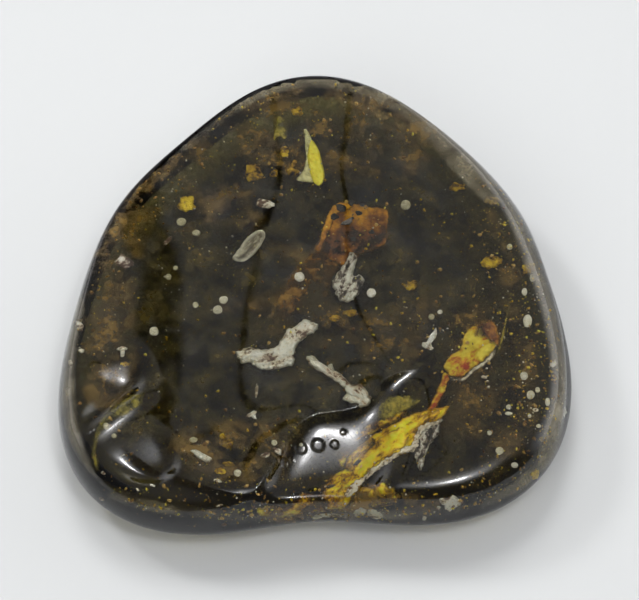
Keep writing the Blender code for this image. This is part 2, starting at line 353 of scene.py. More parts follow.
def fine_relief(x, y):
    """The slow roll of the polish and the open bubbles."""
    roll = np.array([noise.noise(Vector((a, b, 0.3))) for a, b in zip(x / ROLL_LENGTH, y / ROLL_LENGTH)])
    height = ROLL_HEIGHT * roll
    for (pit_x, pit_y), radius, depth in PITS:
        away = np.hypot(x / MM - pit_x, y / MM - pit_y) / radius
        height = height - depth * MM * np.exp(-(away**PIT_STEEPNESS))
    return height


print("pits:", len(PITS))

# %% [markdown]
# ## The amber body
#
# The surface is a mirror polish, and a mirror shows every facet. So the body is a cube whose faces are
# finely divided and bulged out to the surface, which gives even squares with no pole where they pinch.
# More of them are sent to the top, and the squares round the ridge and the pits are divided again.

# %% Describe the whole surface
FINE_FADE = 8  # the power by which the finer marks die out on the outline


def under_side(flat):
    """Height of the ground underside, with its rounded border."""
    return np.maximum(GIRDLE_HEIGHT - UNDER_DEPTH * np.sqrt(1 - flat**UNDER_SQUARENESS), 0)


def stone_surface(direction, fine=False):
    """Points of the stone's surface, one for each unit direction from its middle."""
    flat = np.clip(np.hypot(direction[:, 0], direction[:, 1]), 0, 1)
    angle = np.arctan2(direction[:, 1], direction[:, 0])
    radius = add_waves(MEAN_RADIUS, OUTLINE_WAVES, angle)
    x = flat * radius * np.cos(angle) - MIDDLE[0]
    y = flat * radius * np.sin(angle) - MIDDLE[1]
    top = calm_top(x, y) + relief(x, y)
    if fine:
        top = top + fine_relief(x, y) * (1 - flat**FINE_FADE)
    z = np.where(direction[:, 2] >= 0, top, under_side(flat))
    cut = ledge_cut(angle, z)
    return np.column_stack([x - cut * np.cos(angle), y - cut * np.sin(angle), z])


poles = stone_surface(np.array([[0, 0, 1.0], [0, 0, -1.0]]))
print("height of the top and the underside over the middle in mm:", (poles[:, 2] / MM).round(2))

# %% Divide the ball of directions
BODY_CUTS = 100
TOP_SHARE = 0.22  # how strongly the divisions are drawn towards the top
FINE_REACH = 0.9 * MM
FINE_CUTS = 1
PIT_REACH = 1.6  # in pit radii
PIT_CUTS = 3


def divide_again(bm, wanted, cuts):
    """Divides the squares whose middles the test wants, on the ball of directions."""
    faces = [face for face in bm.faces if face.calc_center_median().z > 0]
    middles = np.array([face.calc_center_median().normalized() for face in faces])
    place = stone_surface(middles)
    chosen = [face for face, want in zip(faces, wanted(place[:, 0], place[:, 1])) if want]
    edges = list({edge for face in chosen for edge in face.edges})
    bmesh.ops.subdivide_edges(bm, edges=edges, cuts=cuts, use_grid_fill=True)


def near_ridge(x, y):
    beside, from_end = beside_line(RIDGE_CURVE, x, y)
    return (np.abs(beside) < FINE_REACH) & (from_end > 0)


def near_pits(x, y):
    near = np.zeros(len(x), bool)
    for (pit_x, pit_y), radius, _ in PITS:
        near |= np.hypot(x / MM - pit_x, y / MM - pit_y) < PIT_REACH * radius
    return near


def divided_ball():
    """A ball of even squares, finer towards the top and round the ridge and the pits."""
    bm = bmesh.new()
    bmesh.ops.create_cube(bm, size=2.0)
    bmesh.ops.subdivide_edges(bm, edges=bm.edges[:], cuts=BODY_CUTS - 1, use_grid_fill=True)
    on_cube = np.array([vert.co for vert in bm.verts])
    even = np.tan(on_cube * math.pi / 4)
    direction = even / np.linalg.norm(even, axis=1)[:, None]
    polar = np.arccos(np.clip(direction[:, 2], -1, 1))
    drawn = polar - TOP_SHARE * np.sin(polar)
    around = np.arctan2(direction[:, 1], direction[:, 0])
    for vert, down, turn in zip(bm.verts, drawn, around):
        vert.co = (math.sin(down) * math.cos(turn), math.sin(down) * math.sin(turn), math.cos(down))
    divide_again(bm, near_ridge, FINE_CUTS)
    divide_again(bm, near_pits, PIT_CUTS)
    return bm


def make_body():
    """The ball of directions, laid on the surface of the stone."""
    bm = divided_ball()
    direction = np.array([vert.co.normalized() for vert in bm.verts])
    for vert, point in zip(bm.verts, stone_surface(direction, fine=True)):
        vert.co = point
    bmesh.ops.triangulate(bm, faces=[face for face in bm.faces if len(face.verts) > 4])
    bmesh.ops.recalc_face_normals(bm, faces=bm.faces[:])
    mesh = bpy.data.meshes.new("amber_body")
    bm.to_mesh(mesh)
    bm.free()
    mesh.shade_smooth()
    body = bpy.data.objects.new("amber_body", mesh)
    bpy.context.scene.collection.objects.link(body)
    return body


amber_body = make_body()
amber_body.data.calc_loop_triangles()
print("amber body:", len(amber_body.data.loop_triangles), "triangles")

# %% [markdown]
# ## Helpers for nodes
#
# A material in Blender is a net of nodes. Most of it is plain arithmetic, so short functions write the
# nodes that are needed most: a sum, a passage from one level to another, and a bump.

# %% Write the helpers for nodes
def new_material(name):
    """A material with its nodes and its links."""
    material = bpy.data.materials.new(name)
    material.use_nodes = True
    return material, material.node_tree.nodes, material.node_tree.links


def value_maths(nodes, links, operation, *values):
    """A Math node with its inputs set or linked."""
    node = nodes.new("ShaderNodeMath")
    node.operation = operation
    for socket, value in zip(node.inputs, values):
        if isinstance(value, (int, float)):
            socket.default_value = value
        else:
            links.new(value, socket)
    return node.outputs["Value"]


def value_between(nodes, links, value, low, high, out_low, out_high, smooth=False):
    """A Map Range node: goes from one level to another as the value goes from low to high."""
    node = nodes.new("ShaderNodeMapRange")
    if smooth:
        node.interpolation_type = "SMOOTHSTEP"
    links.new(value, node.inputs["Value"])
    node.inputs["From Min"].default_value = low
    node.inputs["From Max"].default_value = high
    node.inputs["To Min"].default_value = out_low
    node.inputs["To Max"].default_value = out_high
    return node.outputs["Result"]


def add_bump(nodes, links, height, strength, distance, shader):
    """A Bump node for the shader's normal."""
    bump = nodes.new("ShaderNodeBump")
    bump.inputs["Strength"].default_value = strength
    bump.inputs["Distance"].default_value = distance
    links.new(height, bump.inputs["Height"])
    links.new(bump.outputs["Normal"], shader.inputs["Normal"])


print("helpers for nodes are ready")

# %% [markdown]
# ## The amber itself
#
# Amber bends light as glass does, a little less than crystal: its index is 1.54. Its colour comes from
# absorption on the way through. The absorption is set for each metre of travel, stronger in blue than in
# red, so thin edges glow golden and the middle goes dark. The polish is a little duller in some places
# than in others and has faint waves and scratches, which no eye finds until a bright lamp lies on them.

# %% Make the amber material
ABSORPTION_PER_MM = (0.24, 0.265, 0.46)
ABSORPTION_SPARE = 1.25  # the density must be over the strongest absorption
AMBER_INDEX = 1.54
POLISH_MARKS = ((350, 1.0), (1500, 9.0))  # scale and stretch of the waves and of the scratches
POLISH_DIRECTION = 35  # in degrees
POLISH_DEPTH = 0.0028 * MM
SCRATCH_SHARE = 0.15
DULLER_BETWEEN = (0.45, 0.70)
POLISH_BEST = 0.012
POLISH_WORST = 0.035
DULL_PLACE = (-15.6, -13.6, 8.0)  # the hand-worn corner, in millimetres
DULL_REACH = 3.2
DULL_ROUGHNESS = 0.13


def polish_noise(nodes, links, place, scale, stretch):
    """Noise for the polish, drawn out along the way the stone was rubbed."""
    squeeze = nodes.new("ShaderNodeMapping")
    squeeze.inputs["Rotation"].default_value = (0, 0, math.radians(POLISH_DIRECTION))
    squeeze.inputs["Scale"].default_value = (1, stretch, 1)
    links.new(place, squeeze.inputs["Vector"])
    texture = nodes.new("ShaderNodeTexNoise")
    texture.inputs["Scale"].default_value = scale
    texture.inputs["Detail"].default_value = 2.0
    links.new(squeeze.outputs["Vector"], texture.inputs["Vector"])
    return texture.outputs["Fac"]


def absorb(nodes, links):
    """The Volume Absorption that gives the amber its colour."""
    depth = nodes.new("ShaderNodeVolumeAbsorption")
    strongest = ABSORPTION_SPARE * max(ABSORPTION_PER_MM) / MM
    colour = [1 - value / MM / strongest for value in ABSORPTION_PER_MM]
    depth.inputs["Color"].default_value = (*colour, 1)
    depth.inputs["Density"].default_value = strongest
    links.new(depth.outputs["Volume"], nodes["Material Output"].inputs["Volume"])


def make_amber():
    material, nodes, links = new_material("dark_amber")
    shader = nodes["Principled BSDF"]
    shader.inputs["Base Color"].default_value = (1, 1, 1, 1)
    shader.inputs["IOR"].default_value = AMBER_INDEX
    shader.inputs["Transmission Weight"].default_value = 1.0
    place = nodes.new("ShaderNodeTexCoord").outputs["Object"]
    waves, scratches = (polish_noise(nodes, links, place, *marks) for marks in POLISH_MARKS)
    dulled = value_between(nodes, links, waves, *DULLER_BETWEEN, POLISH_BEST, POLISH_WORST)
    from_corner = nodes.new("ShaderNodeVectorMath")
    from_corner.operation = "DISTANCE"
    links.new(place, from_corner.inputs[0])
    from_corner.inputs[1].default_value = [value * MM for value in DULL_PLACE]
    worn = value_between(nodes, links, from_corner.outputs["Value"], 0.0, DULL_REACH * MM, DULL_ROUGHNESS,
                         0.0, smooth=True)
    links.new(value_maths(nodes, links, "ADD", dulled, worn), shader.inputs["Roughness"])
    marks = value_maths(nodes, links, "MULTIPLY_ADD", scratches, SCRATCH_SHARE, waves)
    add_bump(nodes, links, marks, 1.0, POLISH_DEPTH, shader)
    absorb(nodes, links)
    return material


amber_body.data.materials.append(make_amber())
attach(amber_body, "root")
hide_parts("amber_top", "amber_base")
print("light left after 3 mm of amber:", np.exp(-3 * np.array(ABSORPTION_PER_MM)).round(2))

# %% [markdown]
# ## Finding a place inside the stone
#
# Most things in the stone are known only from where the photo shows them. A line of sight is followed
# from the camera to the polish, bent there as glass bends light, and followed on to a depth. So a point is
# given as a column and a row of the photo and a depth in millimetres, and a crumb that is drawn in these
# three numbers appears where the photo has it. From the side it lies at its true depth.

# %% Follow the lines of sight into the stone
LOOK_STEP = 3
MARCH_STEP = 0.1 * MM
SLOPE_STEP = 0.1 * MM
HIGHEST_LEVEL = 9.3 * MM
PIXELS_PER_METRE = PHOTO_WIDTH / FIELD_WIDTH
LAST_CELL = 1.001  # keeps a look-up inside the grid
WALL_GAP = 0.965
POLISH_GAP = 0.06 * MM
SEED_SHIFT = (7.3, 3.1, 5.7)


def surface_tilt(x, y):
    """Unit normals of the calm top."""
    slope_x = (calm_top(x + SLOPE_STEP, y) - calm_top(x - SLOPE_STEP, y)) / (2 * SLOPE_STEP)
    slope_y = (calm_top(x, y + SLOPE_STEP) - calm_top(x, y - SLOPE_STEP)) / (2 * SLOPE_STEP)
    normal = np.stack([-slope_x, -slope_y, np.ones_like(x)], axis=-1)
    return normal / np.linalg.norm(normal, axis=-1, keepdims=True)


def sight_lines():
    """Where the line of sight of each grid pixel meets the polish, and its way for each metre of depth."""
    column, row = np.meshgrid(np.arange(0, PHOTO_WIDTH + LOOK_STEP, LOOK_STEP),
                              np.arange(0, PHOTO_HEIGHT + LOOK_STEP, LOOK_STEP))
    right = (column - (PHOTO_WIDTH - 1) / 2) / PIXELS_PER_METRE
    high = (PHOTO_HEIGHT / 2 - row) / PIXELS_PER_METRE
    ray = right[..., None] * image_right + high[..., None] * image_up - to_camera * CAMERA_DISTANCE
    ray = ray / np.linalg.norm(ray, axis=-1, keepdims=True)
    way = (camera_place[2] - HIGHEST_LEVEL) / -ray[..., 2]
    found = np.zeros(way.shape, bool)
    while not found.all():
        place = camera_place + ray * way[..., None]
        x, y, z = place[..., 0], place[..., 1], place[..., 2]
        found |= ((reach(x, y) < 1) & (z <= calm_top(x, y))) | (z < GIRDLE_HEIGHT)
        way = np.where(found, way, way + MARCH_STEP)
    way = way - relief(place[..., 0], place[..., 1]) / -ray[..., 2]
    place = camera_place + ray * way[..., None]
    normal = surface_tilt(place[..., 0], place[..., 1])
    facing = -(ray * normal).sum(axis=-1, keepdims=True)
    bent = np.sqrt(1 - (1 - facing**2) / AMBER_INDEX**2)
    inside = ray / AMBER_INDEX + normal * (facing / AMBER_INDEX - bent)
    return place, inside / bent


SIGHT_PLACE, SIGHT_WAY = sight_lines()
print("lines of sight:", SIGHT_PLACE.shape[0] * SIGHT_PLACE.shape[1])

# %% [markdown]
# Between the grid's lines of sight a place is found by mixing the four nearest. A place that would break
# through the polish or a wall is drawn in, because a crumb that sticks out would be ground off.

# %% Find places in the stone
def in_stone(points):
    """Places in the stone for rows of photo column, photo row and depth in millimetres."""
    column = np.clip(points[:, 0] / LOOK_STEP, 0, SIGHT_PLACE.shape[1] - LAST_CELL)
    row = np.clip(points[:, 1] / LOOK_STEP, 0, SIGHT_PLACE.shape[0] - LAST_CELL)
    left = column.astype(int)
    above = row.astype(int)
    right_share = (column - left)[:, None]
    below_share = (row - above)[:, None]

    def between(grid):
        upper = grid[above, left] * (1 - right_share) + grid[above, left + 1] * right_share
        lower = grid[above + 1, left] * (1 - right_share) + grid[above + 1, left + 1] * right_share
        return upper * (1 - below_share) + lower * below_share

    return keep_inside(between(SIGHT_PLACE) + between(SIGHT_WAY) * points[:, 2:] * MM)


def keep_inside(points):
    """Points drawn in from the walls, the polish and the underside, so that none breaks the surface."""
    outward = reach(points[:, 0], points[:, 1])
    drawn_in = np.minimum(1, WALL_GAP / outward)
    x = (points[:, 0] + MIDDLE[0]) * drawn_in - MIDDLE[0]
    y = (points[:, 1] + MIDDLE[1]) * drawn_in - MIDDLE[1]
    top = calm_top(x, y) + relief(x, y) - POLISH_GAP
    flat = outward * drawn_in
    under = under_side(flat) + POLISH_GAP
    return np.column_stack([x, y, np.clip(points[:, 2], under, top)])


def noise_at(points, size, seed):
    """Smooth noise from -1 to 1 at rows of coordinates."""
    shift = Vector([seed * step for step in SEED_SHIFT])
    return np.array([noise.noise(Vector(point) / size + shift) for point in points])


middle_of_photo = in_stone(np.array([[PHOTO_WIDTH / 2, PHOTO_HEIGHT / 2, 1.0]]))[0]
print("1 mm under the middle of the photo, in mm:", (middle_of_photo / MM).round(2))

# %% [markdown]
# ## Flakes and lumps
#
# A flake is drawn as its outline. The outline is made ragged, filled with even triangles, and swollen to
# a thin closed sheet with a rounded rim, whose two faces are crumpled by noise. A lump is a ball that is
# stretched and made lumpy. Both carry two values for their material: how near a point is to the rim, and
# a shade of its own for each piece.

# %% Write the tools for flakes and lumps
FLAKE_STEP = 2.0
RIM_WIDTH = 4.0
RAGGED_SIZE = 3.0
ROW_SHARE = 0.87  # the height of an even triangle, as a share of its side
BORDER_GAP = 0.55  # inner points keep this share of a step from the border
SAME_POINT = 1e-4
ON_RIM = 1e-3
FINER_FOLD = 2.6  # how much smaller the second folds are
FINER_GRAIN = 3  # how much smaller the grain is
LUMP_SIZE = 0.8
LUMP_FINER_SIZE = 0.35


def even_border(outline, step, raggedness, seed):
    """A closed outline cut into even steps and made ragged."""
    curve = smooth_curve([np.array(point, float) for point in outline], closed=True)
    closed = np.vstack([curve, curve[:1]])
    run = np.concatenate([[0.0], np.cumsum(np.hypot(*np.diff(closed, axis=0).T))])
    count = max(8, round(run[-1] / step))
    place = np.linspace(0, run[-1], count, endpoint=False)
    border = np.column_stack([np.interp(place, run, closed[:, axis]) for axis in range(2)])
    flat = np.column_stack([border, np.zeros(count)])
    jitter = np.column_stack([noise_at(flat, RAGGED_SIZE, seed), noise_at(flat, RAGGED_SIZE, seed + 0.5)])
    return border + raggedness * jitter


def is_within(points, border):
    """Which points lie within a closed border."""
    within = np.zeros(len(points), bool)
    for start, end in zip(border, np.roll(border, -1, axis=0)):
        crosses = (start[1] > points[:, 1]) != (end[1] > points[:, 1])
        with np.errstate(divide="ignore", invalid="ignore"):
            at = start[0] + (points[:, 1] - start[1]) * (end[0] - start[0]) / (end[1] - start[1])
        within ^= crosses & (points[:, 0] < at)
    return within


def distance_to(points, border):
    """Distance of each point from the nearest stretch of a closed border."""
    nearest = np.full(len(points), np.inf)
    for start, end in zip(border, np.roll(border, -1, axis=0)):
        run = end - start
        along = np.clip(((points - start) @ run) / max(run @ run, 1e-9), 0, 1)
        nearest = np.minimum(nearest, np.hypot(*(points - start - along[:, None] * run).T))
    return nearest


def filled(border, step):
    """Even triangles within a border: the points and the faces."""
    low = border.min(axis=0)
    high = border.max(axis=0)
    grid = []
    for index, row in enumerate(np.arange(low[1], high[1], step * ROW_SHARE)):
        start = low[0] + (step / 2 if index % 2 else 0)
        grid.extend((column, row) for column in np.arange(start, high[0], step))
    grid = np.array(grid)
    grid = grid[is_within(grid, border)]
    grid = grid[distance_to(grid, border) > BORDER_GAP * step]
    points = [Vector(point) for point in np.vstack([border, grid])]
    done = delaunay_2d_cdt(points, [], [list(range(len(border)))], 1, SAME_POINT)
    return np.array([tuple(point) for point in done[0]]), done[2]


print("tools for outlines are ready")

# %% [markdown]
# A flake's upper and lower face share the points of its rim, so it is closed. A triangle whose corners are
# all on the rim would lie on itself, and is left out of both faces.

# %% Write the flake and the lump
def flake(outline, depth, thickness, step=FLAKE_STEP, raggedness=0.8, crumple=0.3, crumple_size=7.0,
          slope=(0.0, 0.0), shade=0.5, seed=1.0, rim_width=RIM_WIDTH):
    """Points and faces of a thin closed sheet, in photo columns, photo rows and depths."""
    border = even_border(outline, step, raggedness, seed)
    flat, faces = filled(border, step)
    rim_gap = distance_to(flat, border)
    on_rim = rim_gap < ON_RIM
    faces = [face for face in faces if not on_rim[list(face)].all()]
    middle = border.mean(axis=0)
    swell = np.sqrt(1 - (1 - np.clip(rim_gap / rim_width, 0, 1)) ** 2) * thickness / 2
    level = depth + (flat - middle) @ np.array(slope)
    spot = np.column_stack([flat, np.zeros(len(flat))])
    fold = noise_at(spot, crumple_size, seed + 2) + 0.5 * noise_at(spot, crumple_size / FINER_FOLD, seed + 3)
    level = level + crumple * 0.5 * fold
    grain = 1 + 0.5 * noise_at(spot, crumple_size / FINER_GRAIN, seed + 4)
    upper = np.column_stack([flat, level - swell * grain])
    lower = np.column_stack([flat, level + swell])
    below = {index: len(flat) + order for order, index in enumerate(np.flatnonzero(~on_rim))}
    points = np.vstack([upper, lower[~on_rim]])
    under_faces = [[below.get(index, index) for index in reversed(face)] for face in faces]
    rim = np.clip(1 - rim_gap / rim_width, 0, 1)
    return points, [*faces, *under_faces], np.concatenate([rim, rim[~on_rim]]), shade


def lump(column, row, depth, half_length, half_width, turn=0.0, flatness=0.6, rough=0.25, levels=2,
         shade=0.5, seed=1.0):
    """Points and faces of a lumpy ball. Its sizes are in pixels, and its depth in millimetres."""
    ball = bmesh.new()
    bmesh.ops.create_icosphere(ball, subdivisions=levels, radius=1.0)
    unit = np.array([vert.co for vert in ball.verts])
    faces = [[vert.index for vert in face.verts] for face in ball.faces]
    ball.free()
    dents = noise_at(unit, LUMP_SIZE, seed + column) + 0.5 * noise_at(unit, LUMP_FINER_SIZE, seed + row)
    size = 1 + rough * dents
    along, across, down = (unit * size[:, None]).T
    along = along * half_length
    across = across * half_width
    angle = math.radians(turn)
    thick = flatness * min(half_length, half_width) / PIXELS_PER_METRE / MM
    points = np.column_stack([column + along * math.cos(angle) - across * math.sin(angle),
                              row + along * math.sin(angle) + across * math.cos(angle),
                              depth + down * thick])
    return points, faces, np.zeros(len(points)), shade


def make_piece(name, shapes, material, replaced=()):
    """One object of all the shapes, laid into the stone."""
    points = np.vstack([shape[0] for shape in shapes])
    faces = []
    start = 0
    for shape_points, shape_faces, _, _ in shapes:
        faces.extend([[start + index for index in face] for face in shape_faces])
        start += len(shape_points)
    mesh = bpy.data.meshes.new(name)
    mesh.from_pydata([tuple(point) for point in in_stone(points)], [], faces)
    bm = bmesh.new()
    bm.from_mesh(mesh)
    bmesh.ops.recalc_face_normals(bm, faces=bm.faces[:])
    bm.to_mesh(mesh)
    bm.free()
    rims = mesh.attributes.new("rim", "FLOAT", "POINT")
    rims.data.foreach_set("value", np.concatenate([shape[2] for shape in shapes]))
    shades = mesh.attributes.new("shade", "FLOAT", "POINT")
    shades.data.foreach_set("value", np.concatenate([np.full(len(shape[0]), shape[3]) for shape in shapes]))
    mesh.shade_smooth()
    mesh.materials.append(material)
    piece = bpy.data.objects.new(name, mesh)
    bpy.context.scene.collection.objects.link(piece)
    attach(piece, "root")
    if replaced:
        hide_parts(*replaced)
    print(f"{name}: {len(shapes)} shapes, {len(faces)} faces")


# %% [markdown]
# ## Materials of the things inside
#
# Bark crust, resin flakes and dust differ in colour, not in kind: all are matt and mottled at two sizes.
# So one node group makes the mottling, and each material gives it colours of its own. The rim value adds
# the pale or orange border that many flakes have, where the resin drew back from them.

# %% Make the mottle group
MOTTLE_FINER = 3.7  # how much finer the second noise is
MOTTLE_FINE_SHARE = 0.45
MOTTLE_INPUTS = (("Scale", 1000.0), ("Contrast", 2.5), ("Grain Direction", 0.0), ("Grain Stretch", 1.0))


def make_mottle_group():
    """Node group: two sizes of noise, drawn out along a grain, as one mask from 0 to 1."""
    group = bpy.data.node_groups.new("mottle", "ShaderNodeTree")
    for name, value in MOTTLE_INPUTS:
        socket = group.interface.new_socket(name, in_out="INPUT", socket_type="NodeSocketFloat")
        socket.default_value = value
    group.interface.new_socket("Mask", in_out="OUTPUT", socket_type="NodeSocketFloat")
    nodes = group.nodes
    links = group.links
    entry = nodes.new("NodeGroupInput")
    leave = nodes.new("NodeGroupOutput")
    where = nodes.new("ShaderNodeTexCoord")
    turned = nodes.new("ShaderNodeVectorRotate")
    turned.rotation_type = "Z_AXIS"
    links.new(where.outputs["Object"], turned.inputs["Vector"])
    links.new(entry.outputs["Grain Direction"], turned.inputs["Angle"])
    parts = nodes.new("ShaderNodeSeparateXYZ")
    links.new(turned.outputs["Vector"], parts.inputs["Vector"])
    drawn_out = nodes.new("ShaderNodeCombineXYZ")
    along = value_maths(nodes, links, "DIVIDE", parts.outputs["X"], entry.outputs["Grain Stretch"])
    links.new(along, drawn_out.inputs["X"])
    links.new(parts.outputs["Y"], drawn_out.inputs["Y"])
    links.new(parts.outputs["Z"], drawn_out.inputs["Z"])
    noises = []
    for finer, detail in ((1.0, 5.0), (MOTTLE_FINER, 3.0)):
        texture = nodes.new("ShaderNodeTexNoise")
        texture.inputs["Detail"].default_value = detail
        texture.inputs["Roughness"].default_value = 0.6
        links.new(drawn_out.outputs["Vector"], texture.inputs["Vector"])
        scale = value_maths(nodes, links, "MULTIPLY", entry.outputs["Scale"], finer)
        links.new(scale, texture.inputs["Scale"])
        noises.append(texture.outputs["Fac"])
    total = value_maths(nodes, links, "MULTIPLY_ADD", noises[1], MOTTLE_FINE_SHARE, noises[0])
    centred = value_maths(nodes, links, "SUBTRACT", total, 0.5 * (1 + MOTTLE_FINE_SHARE))
    mask = value_maths(nodes, links, "MULTIPLY_ADD", centred, entry.outputs["Contrast"], 0.5)
    mask.node.use_clamp = True
    links.new(mask, leave.inputs["Mask"])
    return group


MOTTLE = make_mottle_group()
print("mottle group:", len(MOTTLE.nodes), "nodes")

# %% [markdown]
# Each material passes the mask, shifted by the shade of the shape, through a colour ramp from its dark to
# its light mottles. Thin sheets also get an alpha from the mask, so that they are ragged and fade out.

# %% Write the maker of mottled materials
BUMP_STRENGTH = 0.8


def colour_ramp(nodes, links, value, stops):
    """A Color Ramp with the stops given as position and colour."""
    ramp = nodes.new("ShaderNodeValToRGB")
    for _ in stops[2:]:
        ramp.color_ramp.elements.new(0.5)
    for element, (position, colour) in zip(ramp.color_ramp.elements, stops):
        element.position = position
        element.color = (*colour, 1)
    links.new(value, ramp.inputs["Fac"])
    return ramp.outputs["Color"]


def mix_colours(nodes, links, share, first, second):
    """A plain colour over a linked one, by a share."""
    mix = nodes.new("ShaderNodeMix")
    mix.data_type = "RGBA"
    links.new(share, mix.inputs["Factor"])
    links.new(first, mix.inputs["A"])
    mix.inputs["B"].default_value = (*second, 1)
    return mix.outputs["Result"]


def own_value(nodes, name):
    """A value that the piece's own mesh carries."""
    attribute = nodes.new("ShaderNodeAttribute")
    attribute.attribute_name = name
    return attribute.outputs["Fac"]


def mottled(name, stops, scale, contrast=2.5, roughness=0.6, rim=None, rim_share=0.8, alpha=None,
            grain=(0.0, 1.0), bump_depth=0.1):
    """A matt mottled material. Stops run from dark to light mottles, and alpha from their covers."""
    material, nodes, links = new_material(name)
    shader = nodes["Principled BSDF"]
    shader.inputs["Roughness"].default_value = roughness
    group = nodes.new("ShaderNodeGroup")
    group.node_tree = MOTTLE
    values = (scale, contrast, math.radians(-grain[0]), grain[1])
    for (socket, _), value in zip(MOTTLE_INPUTS, values):
        group.inputs[socket].default_value = value
    own_shade = value_maths(nodes, links, "SUBTRACT", own_value(nodes, "shade"), 0.5)
    mask = value_maths(nodes, links, "ADD", group.outputs["Mask"], own_shade)
    colour = colour_ramp(nodes, links, mask, stops)
    if rim:
        share = value_maths(nodes, links, "MULTIPLY", own_value(nodes, "rim"), rim_share)
        colour = mix_colours(nodes, links, share, colour, rim)
    links.new(colour, shader.inputs["Base Color"])
    add_bump(nodes, links, group.outputs["Mask"], BUMP_STRENGTH, bump_depth * MM, shader)
    if alpha:
        cover = value_between(nodes, links, mask, 0.0, 1.0, *alpha)
        inner = value_maths(nodes, links, "SUBTRACT", 1.0, own_value(nodes, "rim"))
        cover_share = value_maths(nodes, links, "MULTIPLY", cover, inner)
        cover_share.node.use_clamp = True
        links.new(cover_share, shader.inputs["Alpha"])
    return material


print("maker of mottled materials is ready")

# %% [markdown]
# Bark and wood dust: cream, grey and brown, with a grain where the fibres show.

# %% Make the bark materials
CREAM = mottled("cream_crust", [
    (0.0, (0.14, 0.08, 0.05)), (0.18, (0.6, 0.5, 0.38)), (0.36, (1.0, 0.95, 0.84)), (0.8, (1.0, 1.0, 0.95)),
], 850, contrast=4.2, bump_depth=0.2, grain=(30.0, 1.8))
GREY_CRUST = mottled("grey_crust", [
    (0.0, (0.03, 0.025, 0.02)), (0.34, (0.26, 0.21, 0.18)), (0.56, (0.8, 0.76, 0.7)),
    (0.85, (1.0, 1.0, 0.97)),
], 1100, contrast=4.5, grain=(65.0, 2.2), bump_depth=0.2)
ROD_CRUST = mottled("rod_crust", [
    (0.0, (0.14, 0.07, 0.04)), (0.28, (0.5, 0.34, 0.24)), (0.48, (0.95, 0.86, 0.76)),
    (0.85, (1.0, 0.99, 0.95)),
], 1000, contrast=4.8, grain=(-40.0, 2.2), bump_depth=0.2)
BEIGE = mottled("beige_strip", [
    (0.0, (0.3, 0.22, 0.12)), (0.4, (0.8, 0.7, 0.56)), (0.8, (1.0, 0.96, 0.86)),
], 1100, contrast=4.0, grain=(38.0, 1.6), alpha=(0.3, 3.4), bump_depth=0.2)
HUSK = mottled("husk", [
    (0.0, (0.05, 0.04, 0.03)), (0.5, (0.2, 0.17, 0.13)), (0.9, (0.6, 0.57, 0.47)),
], 1600, rim=(1.0, 0.99, 0.92), rim_share=1.0, grain=(50.0, 3.0))
RUST = mottled("rust_flake", [
    (0.0, (0.04, 0.014, 0.004)), (0.3, (0.22, 0.07, 0.005)), (0.55, (0.5, 0.2, 0.01)),
    (0.85, (0.9, 0.46, 0.02)),
], 330, contrast=2.8, rim=(0.8, 0.38, 0.02), rim_share=0.6, alpha=(0.7, 2.2))
BROWN_SHEET = mottled("brown_sheet", [
    (0.2, (0.06, 0.03, 0.01)), (0.6, (0.3, 0.14, 0.03)), (0.95, (0.55, 0.32, 0.08)),
], 420, alpha=(0.0, 1.1))
DARK = mottled("dark_spot", [
    (0.0, (0.01, 0.008, 0.008)), (0.6, (0.06, 0.05, 0.05)), (1.0, (0.3, 0.28, 0.3)),
], 1800)
FLECK_BROWN = mottled("fleck_brown", [
    (0.0, (0.14, 0.06, 0.015)), (0.5, (0.5, 0.28, 0.07)), (1.0, (0.85, 0.6, 0.18)),
], 3000)
PALE = mottled("pale_disc", [
    (0.0, (0.45, 0.42, 0.26)), (0.5, (0.82, 0.79, 0.66)), (1.0, (1.0, 0.99, 0.96)),
], 2500, contrast=1.5)
print("materials:", len(bpy.data.materials))

# %% [markdown]
# Sheets and flecks of resin and rot between the flows: gold, olive and orange, most of them see-through
# in part. Blue is nearly absent, because the amber over them takes it away.

# %% Make the resin materials
# Painted reflection: the gold of the air sheet along the front ridge stands in for the light it mirrors.
GOLD_REFLECTION_PAINT = mottled("gold_sheet", [
    (0.0, (0.16, 0.12, 0.003)), (0.3, (0.72, 0.4, 0.002)), (0.5, (1.0, 0.74, 0.005)),
    (0.8, (1.0, 0.95, 0.03)),
], 700, contrast=3.4, rim=(0.9, 0.34, 0.002), rim_share=0.85, roughness=0.3, alpha=(0.45, 1.9),
    grain=(38.0, 2.6))
# Partly painted reflection: the tail's gold is the air sheet's mirrored light, and its dark brown is murk.
PAINTED_GOLD_TAIL = mottled("gold_tail", [
    (0.0, (0.05, 0.02, 0.002)), (0.3, (0.4, 0.16, 0.004)), (0.55, (0.85, 0.5, 0.004)),
    (0.85, (1.0, 0.88, 0.02)),
], 700, contrast=3.4, roughness=0.3, alpha=(-0.1, 1.6), grain=(25.0, 1.8))
OLIVE = mottled("olive_sheet", [
    (0.0, (0.1, 0.09, 0.012)), (0.5, (0.34, 0.29, 0.04)), (0.9, (0.72, 0.58, 0.09)),
], 900, alpha=(0.5, 1.6))
LOBE = mottled("orange_lobe", [
    (0.0, (0.5, 0.05, 0.01)), (0.25, (0.72, 0.3, 0.015)), (0.5, (0.85, 0.66, 0.03)),
    (0.9, (1.0, 0.86, 0.1)),
], 620, contrast=4.0, rim=(0.9, 0.45, 0.03), rim_share=0.5, alpha=(1.2, 3.0), grain=(35.0, 1.8))
FIN = mottled("yellow_fin", [
    (0.0, (0.85, 0.66, 0.01)), (0.5, (1.0, 0.9, 0.03)), (1.0, (1.0, 0.97, 0.15)),
], 900, roughness=0.35)
PALE_FIN = mottled("pale_fin", [
    (0.0, (0.3, 0.27, 0.08)), (0.5, (0.8, 0.78, 0.42)), (1.0, (1.0, 0.97, 0.62)),
], 1200, roughness=0.4)
